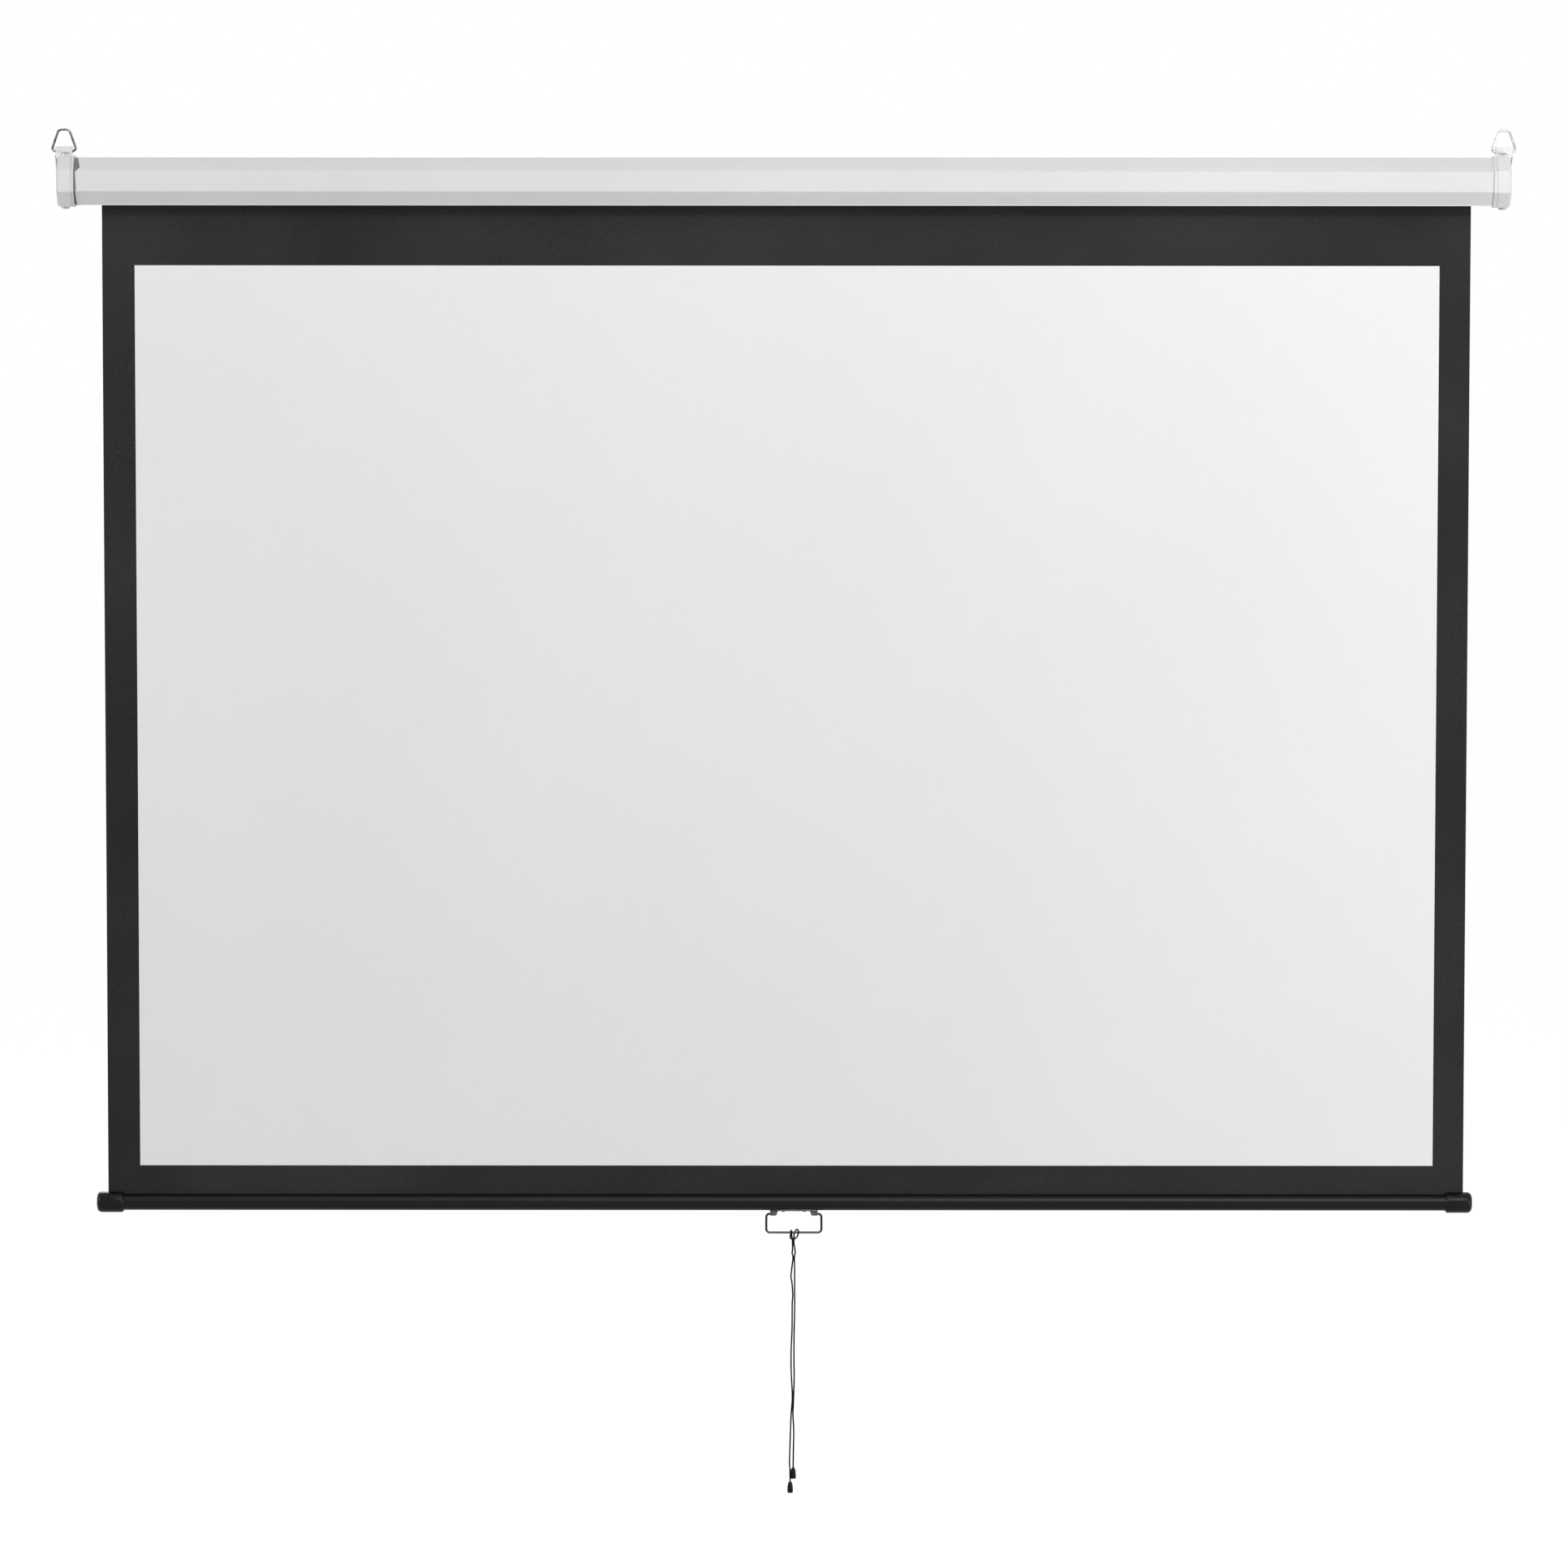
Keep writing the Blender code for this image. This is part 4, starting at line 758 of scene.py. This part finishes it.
# The bottom bar is a steel tube in black satin paint. Its top is slit for the fabric, and a nylon
# cord inside keeps the fabric from pulling out.
BAR_Z = -1.503
BAR_RADIUS = 0.0120
BAR_WALL = 0.001
BAR_LEFT = -1.0129
BAR_RIGHT = 1.0167
TUBE_SETBACK = 0.0053
SLIT_HALF_WIDTH = 0.0012
SLIT_HALF_ANGLE = math.asin(SLIT_HALF_WIDTH / BAR_RADIUS)
black_paint = finish(
    "black_paint", ((0.001, 0.001, 0.001), (0.002, 0.002, 0.002)), 0.33, shine=0.19, clouds=4
)

bm = bmesh.new()
ends = [bm.verts.new((x, 0, BAR_RADIUS)) for x in (BAR_LEFT + TUBE_SETBACK, BAR_RIGHT - TUBE_SETBACK)]
ridge = bm.edges.new(ends)
bmesh.ops.rotate(bm, cent=(0, 0, 0), matrix=Matrix.Rotation(SLIT_HALF_ANGLE, 3, "X"), verts=ends)
spin_round(bm, ends + [ridge], 2 * math.pi - 2 * SLIT_HALF_ANGLE, 64, use_merge=False)
thicken(bm, BAR_WALL, Vector((0, 0, 0)))
bmesh.ops.translate(bm, vec=(0, SCREEN_Y, BAR_Z), verts=bm.verts)
bar_shell = link_piece("bar_shell", bm, black_paint)
smooth(bar_shell, 30)
fit(bar_shell, "bottom_bar", "black_paint", "bar_tube")
dress(nylon, "nylon", "fabric_spline")

# Domed black plastic caps push over both ends of the bar. Each has a slit on top for the corner
# of the fabric, and its open edge tapers down to the tube.
BAR_CAP_PROFILE = [
    (0.0000, 0.0000),
    (0.0000, 0.0085),
    (0.0005, 0.0110),
    (0.0018, 0.0131),
    (0.0037, 0.0146),
    (0.0062, 0.01535),
    (0.0366, 0.01535),
    (0.0372, 0.0152),
    (0.0398, 0.0127),
    (0.0400, 0.0125),
    (0.0400, 0.0123),
    (0.0050, 0.0123),
    (0.0050, 0.0000),
]
CAP_SLIT_DEPTH = 0.041
CAP_SLIT_WIDTH = 0.0024
CAP_SLIT_HEIGHT = 0.0078
CAP_SLIT_LEVEL = 0.0125
CAP_SLIT_PLAY = 0.0003
black_plastic = finish(
    "black_plastic",
    ((0.001, 0.001, 0.001), (0.004, 0.004, 0.004)),
    0.29,
    shine=0.17,
    clouds=60,
    grain=700,
)

for end_x, side, end, fabric_x in (
    (BAR_LEFT, -1, "left", CLOTH_LEFT),
    (BAR_RIGHT, 1, "right", CLOTH_RIGHT),
):
    bm = turned([(end_x - side * depth, out) for depth, out in BAR_CAP_PROFILE], 64)
    bmesh.ops.translate(bm, vec=(0, SCREEN_Y, BAR_Z), verts=bm.verts)
    cap = link_piece(f"{end}_bar_end", bm, black_plastic)
    mouth_x = end_x - side * CAP_SLIT_DEPTH
    slit = (abs(mouth_x - fabric_x) + CAP_SLIT_PLAY, CAP_SLIT_WIDTH, CAP_SLIT_HEIGHT)
    middle_x = (mouth_x + fabric_x + side * CAP_SLIT_PLAY) / 2
    carve(cap, block(slit, (middle_x, SCREEN_Y, BAR_Z + CAP_SLIT_LEVEL)))
    smooth(cap, 35)
    fit(cap, "bottom_bar", "black_plastic", f"{end}_bar_cap")

# The handle hangs from a zinc plated saddle under the middle of the bar. Two rivets fix it, and an
# ear at each end holds the bail's wire.
HANDLE_X = 0.0157
SADDLE_HALF_LENGTH = 0.0355
SADDLE_RADIUS = 0.0123
SADDLE_WALL = 0.0012
# In degrees: how far the saddle wraps round each side of the bar, and how much less at its ends.
SADDLE_MIDDLE_SPREAD = 44
SADDLE_SPREAD_LOSS = 19
EAR_HALF_WIDTH = 0.0028
EAR_CORNER_ROUND = 0.0022
EAR_BOTTOM = -0.0201
EAR_OUTLINE = [(0.0350, -0.0127), (0.0350, EAR_BOTTOM), (0.0270, EAR_BOTTOM), (0.0230, -0.0127)]
RIVET_SPREAD = 0.0155
BAIL_DROP = 0.0173
# Painted shade: the saddle's zinc is tinted far darker than the other zinc plating.
shaded_saddle_zinc = finish(
    "shaded_saddle_zinc", ((0.07, 0.067, 0.065), (0.12, 0.115, 0.11)), 0.3, metallic=1.0, clouds=70, grain=1400
)

bm = bmesh.new()
bmesh.ops.create_grid(bm, x_segments=28, y_segments=14, size=1)
for vert in bm.verts:
    along, across = vert.co.x, vert.co.y
    spread = math.radians(SADDLE_MIDDLE_SPREAD - SADDLE_SPREAD_LOSS * along**2) * across
    vert.co = (
        SADDLE_HALF_LENGTH * along,
        SADDLE_RADIUS * math.sin(spread),
        -SADDLE_RADIUS * math.cos(spread),
    )
bmesh.ops.recalc_face_normals(bm, faces=bm.faces)
if sum(face.normal.z for face in bm.faces) > 0:
    bmesh.ops.reverse_faces(bm, faces=bm.faces)
bmesh.ops.solidify(bm, geom=bm.faces[:], thickness=-SADDLE_WALL)
saddle = link_piece("handle_saddle", bm, shaded_saddle_zinc)
for side in (-1, 1):
    bm = drawn([(side * x, -EAR_HALF_WIDTH, z) for x, z in EAR_OUTLINE], (0, 2 * EAR_HALF_WIDTH, 0))
    lower = [
        edge
        for edge in bm.edges
        if all(v.co.z < EAR_BOTTOM + 0.0001 for v in edge.verts)
        and edge.verts[0].co.y == edge.verts[1].co.y
    ]
    round_off(bm, lower, EAR_CORNER_ROUND, 6)
    carve(saddle, bm, "UNION")
carve(saddle, hole_along_x((0, 0, -BAIL_DROP), 0.08))
saddle.data.transform(Matrix.Translation((HANDLE_X, SCREEN_Y, BAR_Z)))
soften(saddle, 0.00025)
fit(saddle, "bottom_bar", "zinc", "handle_clip")

RIVET_PROFILE = [
    (-0.0146, 0.0000),
    (-0.0146, 0.0012),
    (-0.0143, 0.0022),
    (-0.0138, 0.0030),
    (-0.0136, 0.0032),
    (-0.0136, 0.0016),
    (-0.0105, 0.0016),
    (-0.0105, 0.0024),
    (-0.0097, 0.0020),
    (-0.0095, 0.0000),
]
for number, x in ((1, HANDLE_X - RIVET_SPREAD), (2, HANDLE_X + RIVET_SPREAD)):
    bm = turned_upright(RIVET_PROFILE, 24)
    bmesh.ops.translate(bm, vec=(x, SCREEN_Y, BAR_Z), verts=bm.verts)
    rivet = link_piece(f"saddle_rivet_{number}", bm, oiled_steel)
    smooth(rivet, 35)
    fit(rivet, "bottom_bar", "steel", f"clip_rivet_{number}")

# The bail is 3.4 mm nickel plated wire, bent to a flat loop whose ends turn into the saddle's
# ears. Its plating is painted nearly black as shade, with a painted highlight along the top of
# the lower wire.
BAIL_WIRE = 0.0034
BAIL_Z = BAR_Z - BAIL_DROP
BAIL_HEIGHT = 0.0277
BAIL_CORNERS = [
    (-0.0250, 0),
    (-0.0407, 0),
    (-0.0407, -BAIL_HEIGHT),
    (0.0407, -BAIL_HEIGHT),
    (0.0407, 0),
    (0.0250, 0),
]
BAIL_BENDS = [0, 0.005, 0.005, 0.005, 0.005, 0]
HIGHLIGHT_STARTS = (0.0001, 0.0006)
HIGHLIGHT_ENDS = (0.0016, 0.0024)


def paint_top_highlight(material, wire_z, tint):
    """Paints a highlight in a band along the top of a level wire."""
    place = add(material, "ShaderNodeTexCoord").outputs["Object"]
    height = add(material, "ShaderNodeSeparateXYZ", {"Vector": place}).outputs["Z"]
    past_start, past_end = [
        add(
            material,
            "ShaderNodeMapRange",
            {"Value": height, "From Min": wire_z + low, "From Max": wire_z + high},
        ).outputs[0]
        for low, high in (HIGHLIGHT_STARTS, HIGHLIGHT_ENDS)
    ]
    tint_over(material, (*tint, 1), reckon(material, "SUBTRACT", past_start, past_end), "MIX")


# Painted shade: the nickel is tinted nearly black; the band below is a painted highlight.
nickel_painted_dark = finish(
    "nickel_painted_dark",
    ((0.018, 0.018, 0.017), (0.034, 0.033, 0.031)),
    0.24,
    metallic=1.0,
    clouds=90,
    grain=1500,
)
paint_top_highlight(nickel_painted_dark, BAIL_Z - BAIL_HEIGHT, (0.13, 0.122, 0.114))

route = bent_route([(HANDLE_X + x, SCREEN_Y, BAIL_Z + z) for x, z in BAIL_CORNERS], BAIL_BENDS, 8)
bail = link_piece("bail_wire", tube(route, BAIL_WIRE / 2, 20), nickel_painted_dark)
smooth(bail, 40)
fit(bail, "handle", "dark_nickel", "handle_bail")

# The pull cord is one length of braided black cord, hitched round the bail's lower wire. Its two
# strands hang side by side, and each ends in a small black plastic bell.
CORD_DIAMETER = 0.00235
CORD_TOP = Vector((0.0150, SCREEN_Y, -1.5480))
LEFT_STRAND_LENGTH = 0.361
RIGHT_STRAND_LENGTH = 0.340
ROUTE_STEPS = 6
PLAITS_AROUND = 4.0
PLAIT_ANGLE_PER_METRE = 3000.0
HITCH_ROUTE = [
    (-0.0014, -0.0014, -0.0109),
    (-0.0014, -0.0014, -0.0096),
    (-0.0023, -0.0022, -0.0060),
    (-0.0026, -0.0029, -0.0015),
    (-0.0028, -0.0024, 0.0018),
    (-0.0033, 0.0000, 0.0031),
    (-0.0037, 0.0027, 0.0012),
    (-0.0038, 0.0031, -0.0025),
    (-0.0047, 0.0014, -0.0062),
    (-0.0042, -0.0022, -0.0086),
    (-0.0012, -0.0045, -0.0091),
    (0.0030, -0.0040, -0.0082),
    (0.0062, -0.0034, -0.0045),
    (0.0075, -0.0028, 0.0004),
    (0.0070, -0.0010, 0.0036),
    (0.0050, 0.0009, 0.0043),
    (0.0030, 0.0028, 0.0018),
    (0.0014, 0.0031, -0.0025),
    (0.0008, 0.0022, -0.0062),
    (0.0008, 0.0014, -0.0096),
    (0.0008, 0.0014, -0.0109),
]
LEFT_STRAND = [
    (-0.0014, -0.0014, -0.0109),
    (-0.0012, -0.0014, -0.0248),
    (-0.0018, -0.0014, -0.0308),
    (-0.0005, -0.0014, -0.0376),
    (-0.0025, -0.0014, -0.0550),
    (-0.0035, -0.0014, -0.0660),
    (-0.0021, -0.0014, -0.0745),
    (-0.0008, -0.0014, -0.0930),
    (-0.0016, -0.0014, -0.1062),
    (-0.0019, -0.0015, -0.1444),
    (-0.0032, -0.0016, -0.1758),
    (-0.0031, -0.0017, -0.2061),
    (-0.0014, -0.0018, -0.2448),
    (-0.0032, -0.0020, -0.2727),
    (-0.0045, -0.0022, -0.3080),
    (-0.0055, -0.0028, -0.3424),
    (-0.0048, -0.0030, -0.3560),
    (-0.0045, -0.0030, -0.3713),
]
RIGHT_STRAND = [
    (0.0008, 0.0014, -0.0109),
    (0.0009, 0.0014, -0.0176),
    (0.0025, 0.0014, -0.0270),
    (0.0024, 0.0014, -0.0320),
    (0.0013, 0.0014, -0.0384),
    (0.0018, 0.0014, -0.0470),
    (0.0019, 0.0014, -0.0821),
    (0.0020, 0.0014, -0.1101),
    (0.0017, 0.0014, -0.1293),
    (0.0011, 0.0014, -0.1524),
    (0.0010, 0.0014, -0.1910),
    (0.0013, 0.0014, -0.2194),
    (0.0001, 0.0014, -0.2575),
    (-0.0004, 0.0014, -0.2727),
    (0.0007, 0.0014, -0.2960),
    (0.0003, 0.0014, -0.3229),
    (-0.0001, 0.0014, -0.3509),
]
BELL_PROFILE = [
    (-0.0003, 0.0000),
    (-0.0003, 0.0013),
    (-0.0006, 0.0019),
    (-0.0012, 0.0024),
    (-0.0024, 0.0030),
    (-0.0038, 0.0034),
    (-0.0060, 0.0038),
    (-0.0085, 0.0041),
    (-0.0125, 0.0043),
    (-0.0150, 0.0043),
    (-0.0161, 0.0042),
    (-0.0168, 0.0039),
    (-0.0171, 0.0035),
    (-0.0171, 0.0031),
    (-0.0164, 0.0029),
    (-0.0090, 0.0026),
    (-0.0085, 0.0000),
]


def smooth_route(points):
    """A smooth curve through a route's points, in the same number of steps between each two."""
    points = [Vector(point) for point in points]
    ends = [2 * points[0] - points[1], *points, 2 * points[-1] - points[-2]]
    route = []
    for a, b, c, d in zip(ends, ends[1:], ends[2:], ends[3:]):
        for i in range(ROUTE_STEPS):
            t = i / ROUTE_STEPS
            bend = (2 * a - 5 * b + 4 * c - d) * t**2 + (3 * b - a - 3 * c + d) * t**3
            route.append(b + 0.5 * ((c - a) * t + bend))
    return route + [points[-1]]


def braid(material, strength):
    """Gives a cord its diagonal plaits, which follow the cord however it lies."""
    wrap = add(material, "ShaderNodeAttribute", attribute_name="wrap").outputs["Vector"]
    place = add(material, "ShaderNodeSeparateXYZ", {"Vector": wrap}).outputs
    angle = reckon(material, "ARCTAN2", place["Y"], place["X"])
    around = reckon(material, "MULTIPLY", angle, PLAITS_AROUND)
    along = reckon(material, "MULTIPLY", place["Z"], PLAIT_ANGLE_PER_METRE)
    plaits = [
        reckon(material, "SINE", reckon(material, slant, around, along)) for slant in ("ADD", "SUBTRACT")
    ]
    raise_relief(material, reckon(material, "MAXIMUM", *plaits), strength)


black_cord = finish(
    "black_cord", ((0.003, 0.003, 0.003), (0.008, 0.008, 0.008)), 0.7, shine=0.06, clouds=120
)
braid(black_cord, 0.6)

path = [CORD_TOP + point for point in smooth_route(HITCH_ROUTE)]
hitch = link_piece("hitch_knot", tube(path, CORD_DIAMETER / 2, 12), black_cord)
smooth(hitch, 60)
fit(hitch, "pull_cord", "black_cord", "cord_hitch")
for end, route, length in (
    ("left", LEFT_STRAND, LEFT_STRAND_LENGTH),
    ("right", RIGHT_STRAND, RIGHT_STRAND_LENGTH),
):
    path = [CORD_TOP + point for point in smooth_route(route)]
    strand = link_piece(f"{end}_cord_strand", tube(path, CORD_DIAMETER / 2, 12), black_cord)
    smooth(strand, 60)
    fit(strand, "pull_cord", "black_cord", f"cord_strand_{end}")
    bm = turned_upright(BELL_PROFILE, 32)
    bmesh.ops.translate(bm, vec=path[-1], verts=bm.verts)
    bell = link_piece(f"{end}_cord_end_bell", bm, black_plastic)
    smooth(bell, 40)
    fit(bell, "pull_cord", "black_plastic", f"cord_bell_{end}")

# The floor and the world are white where the camera, a gloss or a glass sees them, and light the
# object softly all round. The floor keeps its shadow. Five soft box lamps light it from the front,
# the top, both sides and the back.
FLOOR_Z = -2.45
FLOOR_GREY = 0.7
FLOOR_SEEN_GREY = 0.4
GLOW_FADE = (1.2, 2.2)
GLOW_STRENGTHS = (0.62, 0.91)


def seen(material):
    """1 for a ray that shows the background, straight, in a reflection or through glass."""
    rays = add(material, "ShaderNodeLightPath").outputs
    either = reckon(material, "MAXIMUM", rays["Is Camera Ray"], rays["Is Glossy Ray"])
    return reckon(material, "MAXIMUM", either, rays["Is Transmission Ray"])


world = bpy.data.worlds.new("studio")
world.use_nodes = True
bpy.context.scene.world = world
strength = add(world, "ShaderNodeMapRange", {"Value": seen(world), "To Min": 0.2, "To Max": 1.0})
background = world.node_tree.nodes["Background"]
background.inputs["Color"].default_value = (1, 1, 1, 1)
world.node_tree.links.new(strength.outputs["Result"], background.inputs["Strength"])

pale_floor = bpy.data.materials.new("pale_floor")
pale_floor.use_nodes = True
pale_floor.node_tree.nodes.remove(pale_floor.node_tree.nodes["Principled BSDF"])
lit, half_lit = [
    add(pale_floor, "ShaderNodeBsdfDiffuse", {"Color": (grey, grey, grey, 1)}).outputs[0]
    for grey in (FLOOR_GREY, FLOOR_SEEN_GREY)
]
place = add(pale_floor, "ShaderNodeTexCoord").outputs["Object"]
away = add(
    pale_floor,
    "ShaderNodeVectorMath",
    {0: place, 1: (0, 0, FLOOR_Z)},
    operation="DISTANCE",
).outputs["Value"]
strength = add(
    pale_floor,
    "ShaderNodeMapRange",
    {
        "Value": away,
        "From Min": GLOW_FADE[0],
        "From Max": GLOW_FADE[1],
        "To Min": GLOW_STRENGTHS[0],
        "To Max": GLOW_STRENGTHS[1],
    },
).outputs["Result"]
glow = add(pale_floor, "ShaderNodeEmission", {"Strength": strength}).outputs[0]
shown = add(pale_floor, "ShaderNodeAddShader", {0: half_lit, 1: glow}).outputs[0]
surface = add(pale_floor, "ShaderNodeMixShader", {0: seen(pale_floor), 1: lit, 2: shown}).outputs[0]
output = pale_floor.node_tree.nodes["Material Output"]
pale_floor.node_tree.links.new(surface, output.inputs["Surface"])

bm = bmesh.new()
bmesh.ops.create_grid(bm, x_segments=1, y_segments=1, size=60)
bmesh.ops.translate(bm, vec=(0, 0, FLOOR_Z), verts=bm.verts)
floor = link_piece("floor", bm, pale_floor)


def lamp(name, place, aim, width, height, power):
    """A soft box lamp that faces a point."""
    light = bpy.data.lights.new(name, "AREA")
    light.shape = "RECTANGLE"
    light.size = width
    light.size_y = height
    light.energy = power
    made = bpy.data.objects.new(name, light)
    made.location = place
    made.rotation_euler = (Vector(aim) - Vector(place)).to_track_quat("-Z", "Y").to_euler()
    made.visible_camera = False
    bpy.context.scene.collection.objects.link(made)


lamp("key_lamp", (1.6, -5.0, 2.8), (0.6, 0, -0.4), 3.4, 1.1, 150)
lamp("top_lamp", (0.5, -1.9, 2.1), (0.5, 0, -0.3), 3.2, 0.5, 16)
lamp("side_lamp", (-4.5, -1.9, 0.4), (-1.0, 0, 0), 1.2, 1.2, 60)
lamp("right_lamp", (3.8, -2.6, -0.9), (1.0, 0, 0), 1.2, 1.2, 62)
lamp("back_lamp", (-1.5, 5.0, 2.0), (0, 0, -0.6), 2.4, 2.4, 130)

# The camera stands where the photograph was taken, level with the casing and far enough off to
# see nearly flat.
CAMERA_PLACE = (-0.01165, -11.42051, 0.09594)
CAMERA_LENS = 178.66
CAMERA_PAN = -0.062
CAMERA_DOWN_TILT = 4.910
CAMERA_ROLL = 0.040

camera_data = bpy.data.cameras.new("photo_camera")
camera_data.sensor_width = 36
camera_data.lens = CAMERA_LENS
camera_data.clip_end = 200
camera = bpy.data.objects.new("photo_camera", camera_data)
bpy.context.scene.collection.objects.link(camera)
camera.matrix_world = (
    Matrix.Translation(CAMERA_PLACE)
    @ Matrix.Rotation(math.radians(CAMERA_PAN), 4, "Z")
    @ Matrix.Rotation(math.radians(90 - CAMERA_DOWN_TILT), 4, "X")
    @ Matrix.Rotation(math.radians(CAMERA_ROLL), 4, "Z")
)
bpy.context.scene.camera = camera
bpy.context.scene.view_settings.view_transform = "Standard"
